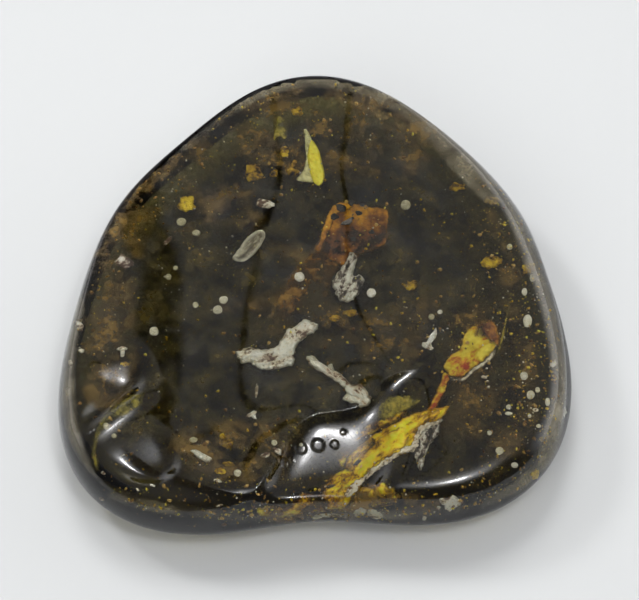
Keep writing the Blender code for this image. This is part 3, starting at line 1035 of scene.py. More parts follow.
AMBER_GOLD = mottled("amber_gold", [
    (0.0, (0.12, 0.06, 0.005)), (0.5, (0.58, 0.34, 0.01)), (1.0, (1.0, 0.74, 0.03)),
], 1200, contrast=3.5, alpha=(0.4, 2.0))
# Painted glints: the bright gold of the golden flecks stands in for light mirrored by small stress discs.
PAINTED_GLINT_GOLD = mottled("fleck_gold", [
    (0.0, (0.5, 0.28, 0.01)), (0.5, (0.95, 0.66, 0.03)), (1.0, (1.0, 0.9, 0.12)),
], 3000, roughness=0.3)
CLOUD = mottled("brown_cloud", [
    (0.0, (0.05, 0.03, 0.012)), (0.5, (0.18, 0.11, 0.035)), (1.0, (0.44, 0.28, 0.08)),
], 430, contrast=3.4, alpha=(-0.45, 0.85))
HAZE = mottled("olive_haze", [
    (0.0, (0.04, 0.037, 0.015)), (0.5, (0.08, 0.07, 0.028)), (1.0, (0.2, 0.15, 0.05)),
], 520, contrast=2.6, alpha=(-0.15, 0.72))
# Painted rim light: a pale colour for sheets along the walls, standing in for the walls' reflection and the
# light through thin edges.
PAINTED_RIM_LIGHT = mottled("rim_haze", [
    (0.0, (0.16, 0.12, 0.08)), (0.5, (0.36, 0.31, 0.22)), (1.0, (0.66, 0.6, 0.48)),
], 300, contrast=1.8, alpha=(0.0, 0.7))
print("materials:", len(bpy.data.materials))

# %% [markdown]
# ## The three large crumbs
#
# Each is crusty bark, pale where it dried before the resin reached it. The long one has a smaller second
# crumb across its left end, the rod has a loose head, and the oval one is hollow with dark streaks.

# %% Make the large crumbs
LONG_CRUMB = [(304, 319), (317, 324), (315, 332), (306, 337), (299, 343), (295, 349), (293, 363),
              (287, 367), (273, 370), (258, 368), (250, 363), (242, 364), (236, 356), (236, 351),
              (247, 348), (267, 350), (275, 346), (281, 340), (286, 330), (296, 326)]
ROD_CRUMB = [(306, 357), (313, 356), (320, 362), (326, 367), (331, 363), (335, 371), (344, 377), (351, 384),
             (361, 385), (368, 393), (368, 399), (363, 404), (345, 402), (344, 396), (347, 391), (340, 386),
             (331, 379), (320, 373), (311, 366)]
OVAL_CRUMB = [(350, 252), (356, 258), (355, 265), (353, 275), (360, 275), (364, 281), (360, 291),
              (354, 299), (346, 302), (339, 300), (334, 292), (332, 285), (333, 278), (339, 270),
              (345, 261)]
# The lumps on each crumb: column, row, depth, half length, half width, turn, roughness, shade and seed.
LONG_CRUMB_LUMPS = [(262, 357, 0.45, 11, 4.5, 12, 0.5, 0.6, 2), (283, 352, 0.5, 8, 4.0, -50, 0.5, 0.5, 3),
                    (302, 331, 0.6, 12, 3.6, -35, 0.5, 0.6, 4)]
ROD_CRUMB_LUMPS = [(322, 368, 0.6, 13, 3.4, 34, 0.45, 0.6, 6), (354, 393, 0.7, 10, 5.0, 28, 0.45, 0.62, 7)]
OVAL_CRUMB_LUMPS = [(350, 264, 0.6, 8, 3.2, -65, 0.5, 0.6, 9), (348, 290, 0.6, 9, 5.0, -30, 0.5, 0.55, 10)]


def crumb_lumps(rows):
    """The lumps on a large crumb."""
    lumps = []
    for column, row, depth, half_length, half_width, turn, rough, shade, seed in rows:
        lumps.append(lump(column, row, depth, half_length, half_width, turn=turn, levels=3, rough=rough,
                          shade=shade, seed=seed))
    return lumps


make_piece("long_crumb", [
    flake(LONG_CRUMB, 0.80, 0.9, step=1.3, raggedness=1.8, crumple=0.35, crumple_size=6.0, seed=1),
    *crumb_lumps(LONG_CRUMB_LUMPS),
], CREAM, replaced=("crumb_long",))
make_piece("rod_crumb", [
    flake(ROD_CRUMB, 0.95, 0.8, step=1.3, raggedness=1.4, crumple=0.25, crumple_size=6.0, seed=5),
    *crumb_lumps(ROD_CRUMB_LUMPS),
], ROD_CRUST, replaced=("crumb_rod",))
make_piece("oval_crumb", [
    flake(OVAL_CRUMB, 0.85, 0.8, step=1.3, raggedness=1.6, crumple=0.4, crumple_size=5.0, seed=8),
    *crumb_lumps(OVAL_CRUMB_LUMPS),
], GREY_CRUST, replaced=("crumb_oval",))

# %% [markdown]
# ## The rust flake and its tail
#
# Where one flow of resin covered another, a thin sheet of rot stayed between them. The rust-brown flake
# above the middle is brightest along its left edge, which gets a second sheet nearer to the polish, and a
# thin brown tail runs down from it. The dark top of the orange lobe has the same colour and is made here.

# %% Make the rust flake and its tail
RUST_FLAKE = [(348, 201), (363, 205), (377, 207), (388, 209), (389, 222), (388, 238), (383, 247),
              (372, 251), (362, 254), (352, 262), (340, 266), (322, 256), (313, 249), (318, 240),
              (322, 228), (327, 214), (334, 205)]
RUST_EDGE = [(350, 201), (334, 204), (327, 214), (322, 228), (318, 240), (313, 249), (321, 251), (326, 240),
             (331, 227), (338, 214), (352, 208)]
LOBE_TOP = [(475, 325), (488, 319), (495, 323), (499, 332), (498, 346), (491, 344), (484, 338), (474, 337)]
BROWN_TAIL = [(313, 249), (300, 262), (288, 276), (278, 290), (276, 310), (285, 325), (300, 318),
              (318, 312), (330, 302), (331, 285), (338, 268), (345, 255), (330, 248)]

make_piece("rust_flake", [
    flake(RUST_FLAKE, 1.1, 0.35, raggedness=1.6, crumple=0.5, crumple_size=14, shade=0.36, seed=11),
    flake(RUST_EDGE, 0.75, 0.2, step=1.5, raggedness=1.0, crumple=0.3, crumple_size=8, shade=0.58, seed=41),
    flake(LOBE_TOP, 0.45, 0.2, step=1.5, raggedness=1.6, crumple=0.3, crumple_size=8, shade=0.36, seed=42),
], RUST)
make_piece("brown_tail", [flake(BROWN_TAIL, 1.5, 0.2, raggedness=2.5, crumple=0.4, crumple_size=16, seed=12)],
           BROWN_SHEET)

# %% [markdown]
# ## The gold band
#
# The brightest thing in the stone lies along the front ridge: a crumpled sheet of air between two flows,
# which shines gold. Its gold is painted reflection: the sheets' colour stands in for the light that the
# air sheet mirrors. Its heart is a second sheet nearer to the polish, its tail and fringe are thinner and
# redder, and a pale strip of bark lies along its lower edge.

# %% Make the gold band
GOLD_BAND = [(448, 405), (427, 409), (406, 416), (394, 423), (379, 430), (365, 437), (352, 450), (345, 459),
             (342, 471), (332, 476), (326, 488), (320, 498), (329, 502), (340, 504), (347, 498), (361, 482),
             (376, 471), (394, 457), (406, 455), (415, 446), (417, 434), (427, 427), (440, 421), (449, 409)]
GOLD_HEART = [(440, 408), (425, 412), (405, 424), (385, 434), (370, 444), (358, 458), (352, 474),
              (362, 476), (378, 464), (394, 453), (404, 448), (410, 438), (424, 424), (438, 416)]
GOLD_TAIL_OUTLINE = [(345, 468), (330, 476), (318, 488), (300, 496), (278, 503), (256, 508), (262, 518),
                     (292, 518), (320, 512), (345, 508), (362, 488), (358, 474)]
GOLD_MURK = [(352, 494), (368, 484), (386, 484), (396, 492), (392, 504), (372, 510), (354, 508)]
GOLD_FRINGE = [(400, 408), (380, 416), (360, 428), (344, 444), (336, 462), (342, 468), (352, 448),
               (368, 436), (388, 426), (408, 416)]
BEIGE_STRIP = [(438, 419), (419, 427), (412, 443), (401, 449), (383, 461), (365, 473), (345, 493),
               (349, 499), (367, 480), (385, 467), (401, 455), (417, 449), (422, 434), (440, 424)]

make_piece("gold_band", [
    flake(GOLD_BAND, 0.75, 0.3, step=1.6, raggedness=1.6, crumple=0.8, crumple_size=10, shade=0.48, seed=13),
    flake(GOLD_HEART, 0.5, 0.2, step=1.6, raggedness=2.2, crumple=0.6, crumple_size=7, shade=0.50, seed=26),
], GOLD_REFLECTION_PAINT)
make_piece("gold_tail", [
    flake(GOLD_TAIL_OUTLINE, 0.7, 0.25, raggedness=2.6, crumple=0.6, crumple_size=8, shade=0.40, seed=27),
    flake(GOLD_MURK, 1.0, 0.25, raggedness=2.6, crumple=0.6, crumple_size=8, shade=0.34, seed=28),
    flake(GOLD_FRINGE, 0.95, 0.2, raggedness=2.0, crumple=0.5, crumple_size=8, shade=0.36, seed=29),
], PAINTED_GOLD_TAIL)
make_piece("beige_strip", [
    flake(BEIGE_STRIP, 0.45, 0.3, step=1.3, raggedness=2.6, crumple=0.3, crumple_size=5, seed=14,
          rim_width=2.0),
], BEIGE)

# %% [markdown]
# ## Olive sheets, a grey flake and a husk
#
# Thin olive sheets lie over the gold band, round the dent on the left, beside the lobe and beside the
# yellow fin. The grey flake hangs from the pale strip. The husk is an empty shell with a pale rim.

# %% Make the olive sheets, the grey flake and the husk
OLIVE_BLOB = [(379, 402), (392, 395), (410, 395), (420, 398), (419, 405), (406, 411), (390, 420),
              (379, 421), (376, 411)]
LEFT_CRESCENT = [(146, 391), (132, 396), (117, 404), (106, 414), (97, 428), (92, 440), (91, 456), (96, 472),
                 (99, 466), (96, 452), (98, 440), (105, 427), (116, 419), (128, 415), (138, 408)]
LOBE_WING = [(508, 295), (506, 311), (503, 323), (500, 336), (497, 346), (495, 356), (499, 354), (503, 342),
             (506, 326), (509, 311), (510, 297)]
FIN_STRIP = [(276, 116), (284, 118), (288, 135), (284, 142), (278, 138), (274, 145), (272, 138)]
GREY_FLAKE = [(419, 434), (438, 423), (438, 434), (429, 446), (424, 461), (420, 473), (417, 464),
              (413, 455), (417, 445)]
HUSK_FLAKE = [(232, 258), (239, 248), (247, 237), (259, 230), (265, 235), (258, 249), (247, 260),
              (238, 262)]

make_piece("olive_sheets", [
    flake(OLIVE_BLOB, 0.8, 0.3, raggedness=1.6, crumple=0.5, crumple_size=8, seed=15),
    flake(LEFT_CRESCENT, 0.9, 0.2, step=1.5, raggedness=0.8, crumple=0.1, shade=0.38, seed=16),
    flake(LOBE_WING, 0.9, 0.15, step=1.5, raggedness=0.6, crumple=0.1, shade=0.65, seed=17),
    flake(FIN_STRIP, 1.1, 0.2, step=1.5, raggedness=0.8, crumple=0.2, shade=0.6, seed=18),
], OLIVE)
make_piece("grey_flake", [
    flake(GREY_FLAKE, 0.6, 0.4, step=1.4, raggedness=1.4, crumple=0.5, crumple_size=5, seed=19),
], GREY_CRUST)
make_piece("husk", [
    flake(HUSK_FLAKE, 0.7, 0.35, step=1.2, raggedness=0.6, crumple=0.3, crumple_size=6, seed=20),
], HUSK)

# %% [markdown]
# ## The orange lobe and the yellow fin
#
# The lobe is a leaf-shaped sheet on a stalk that comes up from the gold band, orange to yellow, with a
# pale lower edge. The fin near the top is the brightest small piece: a yellow blade before a pale one.

# %% Make the lobe and the fin
ORANGE_LOBE = [(475, 325), (488, 320), (493, 323), (496, 327), (499, 336), (497, 345), (494, 350),
               (488, 357), (480, 364), (471, 370), (465, 375), (459, 378), (451, 377), (446, 373),
               (443, 365), (449, 355), (455, 352), (461, 346), (462, 338), (466, 331), (471, 326)]
LOBE_STALK = [(450, 376), (443, 372), (440, 380), (436, 390), (430, 403), (426, 410), (435, 410),
              (440, 402), (446, 390)]
LOBE_EDGE = [(494, 349), (488, 356), (480, 363), (471, 369), (465, 375), (459, 378), (450, 377), (451, 380),
             (460, 382), (467, 379), (474, 372), (482, 367), (491, 360), (496, 351)]
YELLOW_FIN = [(311, 140), (317, 148), (321, 159), (324, 177), (319, 186), (313, 182), (309, 170),
              (307, 155)]
FIN_BACK = [(304, 127), (311, 140), (308, 152), (309, 168), (313, 182), (304, 182), (296, 180), (301, 173),
            (305, 163), (305, 151), (304, 139)]

make_piece("orange_lobe", [
    flake(ORANGE_LOBE, 0.8, 0.45, step=1.5, raggedness=1.2, crumple=0.6, crumple_size=9, seed=21),
    flake(LOBE_STALK, 0.9, 0.3, step=1.5, raggedness=0.9, crumple=0.2, shade=0.4, seed=22),
], LOBE)
make_piece("lobe_edge", [
    flake(LOBE_EDGE, 0.6, 0.3, step=1.2, raggedness=0.8, crumple=0.1, shade=0.7, seed=23),
], BEIGE)
make_piece("yellow_fin", [
    flake(YELLOW_FIN, 0.5, 0.25, step=1.3, raggedness=0.5, crumple=0.2, seed=24),
], FIN)
make_piece("fin_back", [
    flake(FIN_BACK, 0.6, 0.25, step=1.3, raggedness=0.5, crumple=0.2, seed=25),
], PALE_FIN)

# %% [markdown]
# ## Small crumbs, bubbles and discs
#
# The round pale spots are old bubbles that filled with mould or air, and the angular ones are wood dust.
# Each is a small lump at its own place: column, row, half length, half width, turn and shade.

# %% List the small crumbs and dark spots
SMALL_CREAM = [
    (430, 340, 9, 2.6, -60, 0.6), (427, 346, 5, 3.0, 20, 0.5), (434, 334, 5, 1.8, -80, 0.6),
    (201, 456, 11, 3.0, 28, 0.6), (450, 503, 7, 9, 80, 0.5), (439, 509, 2, 2, 0, 0.5),
    (251, 414, 5, 2.0, -30, 0.5), (253, 416, 4, 2.0, 60, 0.5), (256, 391, 6.5, 1.3, -85, 0.6),
    (266, 455, 4.5, 2.2, -20, 0.2), (277, 451, 4.5, 2.4, 25, 0.25), (122, 349, 5, 2.2, 0, 0.5),
    (122, 353, 4, 1.8, 90, 0.5), (124, 262, 8, 6, 30, 0.0), (265, 204, 9, 4, 10, 0.15),
    (331, 517, 11, 2.6, 5, 0.5), (316, 518, 5, 2.4, -10, 0.4), (360, 513, 6, 4, -30, 0.5),
    (375, 516, 7, 4, 10, 0.35), (425, 519, 2, 2, 0, 0.5), (79, 326, 5, 3, 60, 0.5),
    (81, 351, 2.5, 2, 0, 0.5), (70, 363, 3, 2, 80, 0.5), (167, 241, 5, 2, -45, 0.0),
    (566, 412, 3, 5, 0, 0.5), (553, 363, 3, 4, 0, 0.35), (484, 377, 3.2, 1.4, 0, 0.7),
    (488, 387, 1.4, 1.2, 0, 0.7), (487, 381, 1.5, 0.8, 30, 0.6), (217, 481, 4, 1.5, 10, 0.2),
    (219, 505, 3, 1.2, -10, 0.1), (152, 486, 3, 1.2, 10, 0.1), (168, 509, 4, 1.0, 5, 0.1),
    (137, 490, 2, 1.2, 40, 0.1), (103, 473, 2, 1.4, 40, 0.2), (100, 500, 2, 1.2, 20, 0.1),
]
DARK_SPOTS = [
    (341, 208, 6, 4, 20, 0.2), (351, 203, 4, 3, 0, 0.3), (334, 217, 4, 3, 0, 0.1),
    (358, 213, 3, 2.5, 0, 0.1), (347, 222, 7, 2.5, -30, 0.9), (362, 205, 3, 2, 0, 0.2),
    (371, 232, 3, 2, 0, 0.1), (353, 239, 3, 2, 0, 0.2), (340, 480, 7, 3, -20, 0.1),
    (331, 488, 5, 3, 0, 0.1), (357, 462, 5, 2, -40, 0.2),
]
print("crumbs:", len(SMALL_CREAM), "dark spots:", len(DARK_SPOTS))

# %% [markdown]
# The discs and the gold spots aren't turned, so their rows leave the turn out.

# %% List the discs and gold spots
DISCS = [
    (371, 293, 4.6, 4.6, 0.6), (217, 310, 5, 4.5, 0.5), (223, 300, 4.5, 4, 0.45),
    (195, 305, 3, 3, 0.4), (153.5, 331.5, 4.6, 4.6, 0.4), (299, 277, 5, 5, 0.6), (527, 321, 4.5, 6.5, 0.75),
    (524, 292, 3, 4, 0.6), (509, 247, 2.8, 3, 0.5), (532, 278, 3, 4, 0.55), (523.5, 376, 4, 4.2, 0.6),
    (530, 395, 4, 4.5, 0.65), (537, 390, 2.5, 3, 0.5), (547, 402, 2.5, 4.5, 0.5), (535, 410, 3, 2, 0.7),
    (529, 416, 2, 2, 0.6), (538, 426, 2.5, 2, 0.6), (508, 407, 2.6, 2.6, 0.5), (508, 413.5, 4, 1.8, 0.6),
    (499, 451, 4, 4, 0.5), (489, 433, 2.5, 2.5, 0.5), (193, 440, 4, 3, 0.2), (514, 465, 3.5, 3, 0.9),
    (439.5, 312, 2.6, 2.2, 0.75), (431, 317, 3, 3.2, 0.2), (106, 426, 3.3, 3.3, 0.2),
    (113.5, 435.5, 2.7, 2.7, 0.2), (237, 473, 4, 3.6, 0.5), (405, 205, 5, 5, 0.1), (181, 222, 5, 4, 0.15),
    (196, 233, 4, 3, 0.15), (168, 277, 3, 3, 0.1), (175, 268, 2.5, 2.5, 0.1), (274, 443, 3, 3, 0.4),
    (300, 444, 2, 2, 0.6), (523.7, 291.7, 1.8, 2.4, 0.6),
]
GOLD_SPOTS = [
    (187, 204, 8, 7, 0.75), (227, 443, 6, 5, 0.7), (222, 437, 3, 3, 0.8),
    (457, 187, 7, 4, 0.6), (490, 262, 9, 6, 0.5), (528, 268, 6, 5, 0.45), (492, 201, 6, 4, 0.45),
    (293, 168, 6, 7, 0.35), (254, 174, 9, 8, 0.3), (297, 112, 5, 4, 0.5), (284, 152, 4, 4, 0.4),
    (274, 173, 4, 4, 0.4), (124, 363, 4, 2, 0.9), (220, 471, 5, 3, 0.5), (228, 464, 6, 2, 0.5),
    (535, 474, 4, 5, 0.7), (350, 313, 6, 3, 0.5), (410, 285, 6, 5, 0.3), (335, 318, 5, 3, 0.3),
    (374, 498, 18, 9, 0.3),
]
print("discs:", len(DISCS), "gold spots:", len(GOLD_SPOTS))

# %% [markdown]
# The depths go up and down by steps of the golden ratio, which spreads them evenly and shows no pattern.

# %% Make the small pieces
GOLDEN_STEP = 0.618


def small_lumps(rows, depth, levels=2, rough=0.45, flatness=0.6):
    """Lumps for rows of column, row, half length, half width, turn and shade."""
    lumps = []
    for order, (column, row, half_length, half_width, turn, shade) in enumerate(rows):
        own_depth = depth * (0.7 + 0.6 * ((order * GOLDEN_STEP) % 1))
        lumps.append(lump(column, row, own_depth, half_length, half_width, turn=turn, levels=levels,
                          rough=rough, flatness=flatness, shade=shade, seed=order))
    return lumps


def unturned(rows):
    """Rows without a turn, as small_lumps takes them."""
    return [(*row[:4], 0, row[4]) for row in rows]


make_piece("small_crumbs", small_lumps(SMALL_CREAM, 0.45, levels=3, rough=0.6), CREAM)
make_piece("dark_spots", small_lumps(DARK_SPOTS, 0.6, rough=0.6, flatness=0.4), DARK)
make_piece("pale_discs", small_lumps(unturned(DISCS), 0.5, levels=3, rough=0.12, flatness=0.35), PALE)
make_piece("gold_spots", small_lumps(unturned(GOLD_SPOTS), 0.9, levels=3, rough=0.7, flatness=0.3),
           AMBER_GOLD)

# %% [markdown]
# ## Murk
#
# Between the flows the resin is cloudy with rot and dust, in brown veils whose borders can't be told. Each
# veil is a wide thin sheet that is see-through where its noise is low, and that fades out to its rim. Paler
# sheets along the walls are painted light: they stand in for the grey of the walls' reflection and of light
# through their thin edges.

# %% Hang the veils
LEFT_VEIL = [(80, 300), (98, 250), (128, 200), (158, 168), (168, 200), (146, 250), (138, 320), (138, 380),
             (118, 420), (80, 400), (74, 350)]
BACK_VEIL = [(170, 150), (225, 108), (280, 82), (345, 82), (400, 108), (450, 150), (400, 190), (340, 180),
             (290, 190), (240, 215), (195, 215)]
ARC_VEIL = [(180, 225), (205, 200), (235, 196), (275, 222), (310, 252), (300, 270), (262, 248), (228, 228),
            (200, 245)]
RIGHT_VEIL = [(478, 190), (510, 225), (530, 290), (540, 360), (538, 425), (515, 462), (480, 455),
              (505, 400), (508, 330), (490, 260)]
LOBE_VEIL = [(415, 300), (460, 290), (505, 320), (512, 380), (490, 440), (450, 450), (425, 420), (440, 370)]
FRONT_VEIL = [(175, 430), (230, 415), (290, 420), (300, 440), (282, 482), (240, 486), (190, 476),
              (160, 455)]
MIDDLE_VEIL = [(300, 285), (350, 300), (420, 300), (430, 350), (380, 372), (300, 345), (230, 330),
               (205, 300)]
RIM_VEIL = [(258, 505), (330, 498), (400, 490), (440, 500), (430, 516), (340, 524), (270, 522)]
EDGE_VEIL = [(86, 265), (116, 206), (166, 146), (226, 100), (290, 78), (350, 80), (410, 106), (462, 148),
             (440, 160), (395, 130), (330, 104), (270, 106), (220, 130), (170, 176), (130, 226), (108, 275)]
ALL_VEIL = [(74, 380), (84, 300), (118, 215), (175, 144), (235, 98), (310, 80), (385, 92), (450, 145),
            (508, 205), (536, 290), (548, 380), (536, 450), (485, 488), (380, 500), (260, 492), (150, 475),
            (95, 440)]
VEIL_THICKNESS = 0.12
VEIL_FADE = 26.0
EDGE_FADE = 9.0


def veil(outline, depth, shade, seed, step=5.0, fade=VEIL_FADE):
    """A wide ragged sheet of murk that fades out to its rim."""
    return flake(outline, depth, VEIL_THICKNESS, step=step, raggedness=4.0, crumple=0.8, crumple_size=40.0,
                 shade=shade, seed=seed, rim_width=fade)


make_piece("murk", [
    veil(LEFT_VEIL, 1.1, 0.62, 31), veil(BACK_VEIL, 1.2, 0.42, 32), veil(ARC_VEIL, 0.9, 0.60, 33),
    veil(RIGHT_VEIL, 1.0, 0.60, 34), veil(LOBE_VEIL, 1.3, 0.50, 35), veil(FRONT_VEIL, 0.9, 0.62, 36),
    veil(MIDDLE_VEIL, 1.4, 0.46, 37), veil(RIM_VEIL, 0.8, 0.66, 38, fade=EDGE_FADE),
    veil(EDGE_VEIL, 0.5, 0.56, 40, fade=EDGE_FADE),
], CLOUD)
make_piece("haze", [veil(ALL_VEIL, 1.6, 0.50, 39, step=7.0)], HAZE)

# %% [markdown]
# The pale ones lie close under the walls and the corner at the lower right, and are smoother than the
# murk. They are painted light: their pale colour gives the walls the grey of their reflection and of light
# through the thin edges, where the dark amber alone would show nothing.

# %% Lay the sheets of painted rim light along the walls
RIGHT_PAINTED_RIM = [(500, 186), (530, 236), (548, 286), (562, 336), (570, 390), (562, 440), (544, 474),
              (536, 452), (548, 400), (545, 340), (532, 290), (512, 240)]
LEFT_PAINTED_RIM = [(66, 330), (76, 296), (86, 306), (78, 350), (77, 400), (84, 440), (98, 478), (86, 474),
             (66, 440), (59, 400)]
FRONT_PAINTED_RIM = [(104, 500), (160, 516), (230, 524), (330, 526), (430, 520), (484, 510), (524, 490),
              (545, 468), (534, 466), (500, 488), (440, 505), (330, 512), (230, 508), (160, 500),
              (120, 488)]
BACK_PAINTED_RIM = [(180, 138), (230, 98), (280, 76), (330, 74), (385, 86), (430, 116), (480, 162), (506, 196),
             (486, 206), (440, 160), (398, 116), (335, 92), (280, 94), (232, 118), (186, 152)]
CORNER_PAINTED_RIM = [(567, 425), (558, 460), (534, 486), (500, 505), (474, 513), (496, 494), (524, 474),
               (542, 452), (551, 425)]
PAINTED_RIM_DEPTH = 0.35
PAINTED_RIM_FADE = 7.0


def painted_rim_sheet(outline, shade, seed):
    """A pale sheet of painted rim light that follows a wall of the stone."""
    return flake(outline, PAINTED_RIM_DEPTH, VEIL_THICKNESS, step=4.0, raggedness=0.8, crumple=0.15,
                 crumple_size=40.0, shade=shade, seed=seed, rim_width=PAINTED_RIM_FADE)


# Sheets of painted rim light, pale where the walls show reflection and light through their thin edges.
make_piece("rim_haze", [
    painted_rim_sheet(RIGHT_PAINTED_RIM, 0.58, 43), painted_rim_sheet(LEFT_PAINTED_RIM, 0.52, 44), painted_rim_sheet(FRONT_PAINTED_RIM, 0.36, 45),
    painted_rim_sheet(BACK_PAINTED_RIM, 0.52, 46), painted_rim_sheet(CORNER_PAINTED_RIM, 0.60, 47),
], PAINTED_RIM_LIGHT)

# %% [markdown]
# ## Dust and golden flecks
#
# Thousands of specks float in the resin, most in clouds. They are scattered by Geometry Nodes over a layer
# just under the polish, sent down to chance depths, turned at random and joined into one mesh. The layer
# carries how thickly they lie, from noise, so that they gather as they do in the photo.

# %% Make the layer and the speck
LAYER_OUTLINE = [(72, 400), (76, 345), (90, 285), (118, 225), (158, 172), (205, 125), (255, 93), (312, 82),
                 (368, 90), (420, 122), (470, 160), (515, 210), (540, 275), (553, 330), (557, 385),
                 (552, 430), (538, 462), (505, 492), (450, 512), (380, 522), (300, 524), (220, 520),
                 (150, 512), (108, 490), (84, 450)]
LAYER_STEP = 6.0
LAYER_DEPTH = 0.12
SHARE_LIMITS = (0.03, 1.5)  # before squaring
RIGHT_CROWD = (470, 80, 0.9)  # column where it starts, width, and how much it adds
FRONT_CROWD = (470, 40, 0.7)  # row where it starts, width, and how much it adds
SPECK_FLATNESS = 0.6


def make_layer(name, cluster_size, clearing, seed):
    """A sheet just under the polish, with the attribute 'share' for how thickly specks lie."""
    border = even_border(LAYER_OUTLINE, LAYER_STEP, 0.0, seed)
    flat, faces = filled(border, LAYER_STEP)
    points = in_stone(np.column_stack([flat, np.full(len(flat), LAYER_DEPTH)]))
    mesh = bpy.data.meshes.new(name)
    mesh.from_pydata([tuple(point) for point in points], [], [list(reversed(face)) for face in faces])
    spot = np.column_stack([flat, np.zeros(len(flat))])
    cluster = noise_at(spot, cluster_size, seed) + 0.6 * noise_at(spot, cluster_size / 3, seed + 1)
    share = np.clip(cluster + 1 - clearing, *SHARE_LIMITS) ** 2
    for axis, (start, width, more) in enumerate((RIGHT_CROWD, FRONT_CROWD)):
        share = share + more * np.clip((flat[:, axis] - start) / width, 0, 1)
    values = mesh.attributes.new("share", "FLOAT", "POINT")
    values.data.foreach_set("value", share)
    layer = bpy.data.objects.new(name, mesh)
    bpy.context.scene.collection.objects.link(layer)
    return layer


def make_speck(seed):
    """The shape that is scattered: a ball of 20 faces made angular."""
    bm = bmesh.new()
    bmesh.ops.create_icosphere(bm, subdivisions=1, radius=1.0)
    for order, vert in enumerate(bm.verts):
        vert.co *= 0.75 + 0.5 * ((order * GOLDEN_STEP + seed * 0.37) % 1)
        vert.co.z *= SPECK_FLATNESS
    mesh = bpy.data.meshes.new(f"speck_{seed}")
    bm.to_mesh(mesh)
    bm.free()
    return bpy.data.objects.new(mesh.name, mesh)


print("points of the layer's outline:", len(LAYER_OUTLINE))

# %% [markdown]
# The tree first puts points on the layer, as thickly as 'share' says, then sinks them, turns them and puts
# a speck on each. Every chance value has a seed of its own. At the end the instances are made real,
# because only real faces reach the exported model.

# %% Build the Geometry Nodes tree
SCATTER_INPUTS = (("Density", "NodeSocketFloat"), ("Seed", "NodeSocketInt"), ("Smallest", "NodeSocketFloat"),
                  ("Largest", "NodeSocketFloat"), ("Deepest", "NodeSocketFloat"),
                  ("Speck", "NodeSocketObject"), ("Material", "NodeSocketMaterial"))
FULL_TURN = 6.28
DEPTH_POWER = 1.5
SIZE_POWER = 3.0  # most specks are small


def make_scatter_tree():
    """Geometry Nodes: specks at chance places, depths, sizes and turns."""
    tree = bpy.data.node_groups.new("scatter_specks", "GeometryNodeTree")
    tree.interface.new_socket("Geometry", in_out="INPUT", socket_type="NodeSocketGeometry")
    for name, kind in SCATTER_INPUTS:
        tree.interface.new_socket(name, in_out="INPUT", socket_type=kind)
    tree.interface.new_socket("Geometry", in_out="OUTPUT", socket_type="NodeSocketGeometry")
    nodes = tree.nodes
    links = tree.links
    entry = nodes.new("NodeGroupInput")
    leave = nodes.new("NodeGroupOutput")
    share = nodes.new("GeometryNodeInputNamedAttribute")
    share.data_type = "FLOAT"
    share.inputs["Name"].default_value = "share"
    density = value_maths(nodes, links, "MULTIPLY", entry.outputs["Density"], share.outputs["Attribute"])
    points = nodes.new("GeometryNodeDistributePointsOnFaces")
    links.new(entry.outputs["Geometry"], points.inputs["Mesh"])
    links.new(density, points.inputs["Density"])
    links.new(entry.outputs["Seed"], points.inputs["Seed"])

    def chance(low, high, salt, power=1.0):
        random = nodes.new("FunctionNodeRandomValue")
        random.data_type = "FLOAT"
        links.new(value_maths(nodes, links, "ADD", entry.outputs["Seed"], float(salt)), random.inputs["Seed"])
        share_of = value_maths(nodes, links, "POWER", random.outputs[1], power)
        span = value_maths(nodes, links, "SUBTRACT", high, low)
        return value_maths(nodes, links, "MULTIPLY_ADD", share_of, span, low)

    down = nodes.new("ShaderNodeCombineXYZ")
    depth = chance(0.0, entry.outputs["Deepest"], 1, DEPTH_POWER)
    links.new(value_maths(nodes, links, "MULTIPLY", depth, -1.0), down.inputs["Z"])
    sink = nodes.new("GeometryNodeSetPosition")
    links.new(points.outputs["Points"], sink.inputs["Geometry"])
    links.new(down.outputs["Vector"], sink.inputs["Offset"])
    turn = nodes.new("ShaderNodeCombineXYZ")
    for order, axis in enumerate("XYZ"):
        links.new(chance(0.0, FULL_TURN, 2 + order), turn.inputs[axis])
    speck = nodes.new("GeometryNodeObjectInfo")
    links.new(entry.outputs["Speck"], speck.inputs["Object"])
    place = nodes.new("GeometryNodeInstanceOnPoints")
    links.new(sink.outputs["Geometry"], place.inputs["Points"])
    links.new(speck.outputs["Geometry"], place.inputs["Instance"])
    links.new(turn.outputs["Vector"], place.inputs["Rotation"])
    size = chance(entry.outputs["Smallest"], entry.outputs["Largest"], 6, SIZE_POWER)
    links.new(size, place.inputs["Scale"])
    shade = nodes.new("GeometryNodeStoreNamedAttribute")
    shade.data_type = "FLOAT"
    shade.domain = "INSTANCE"
    shade.inputs["Name"].default_value = "shade"
    links.new(place.outputs["Instances"], shade.inputs["Geometry"])
    links.new(chance(0.0, 1.0, 7), shade.inputs["Value"])
    real = nodes.new("GeometryNodeRealizeInstances")
    links.new(shade.outputs["Geometry"], real.inputs["Geometry"])
    dress = nodes.new("GeometryNodeSetMaterial")
    links.new(real.outputs["Geometry"], dress.inputs["Geometry"])
    links.new(entry.outputs["Material"], dress.inputs["Material"])
    links.new(dress.outputs["Geometry"], leave.inputs["Geometry"])
    return tree


SCATTER = make_scatter_tree()
print("scatter tree:", len(SCATTER.nodes), "nodes")

# %% [markdown]
# One tree serves four kinds of specks, which differ in size, colour, depth and how they gather.

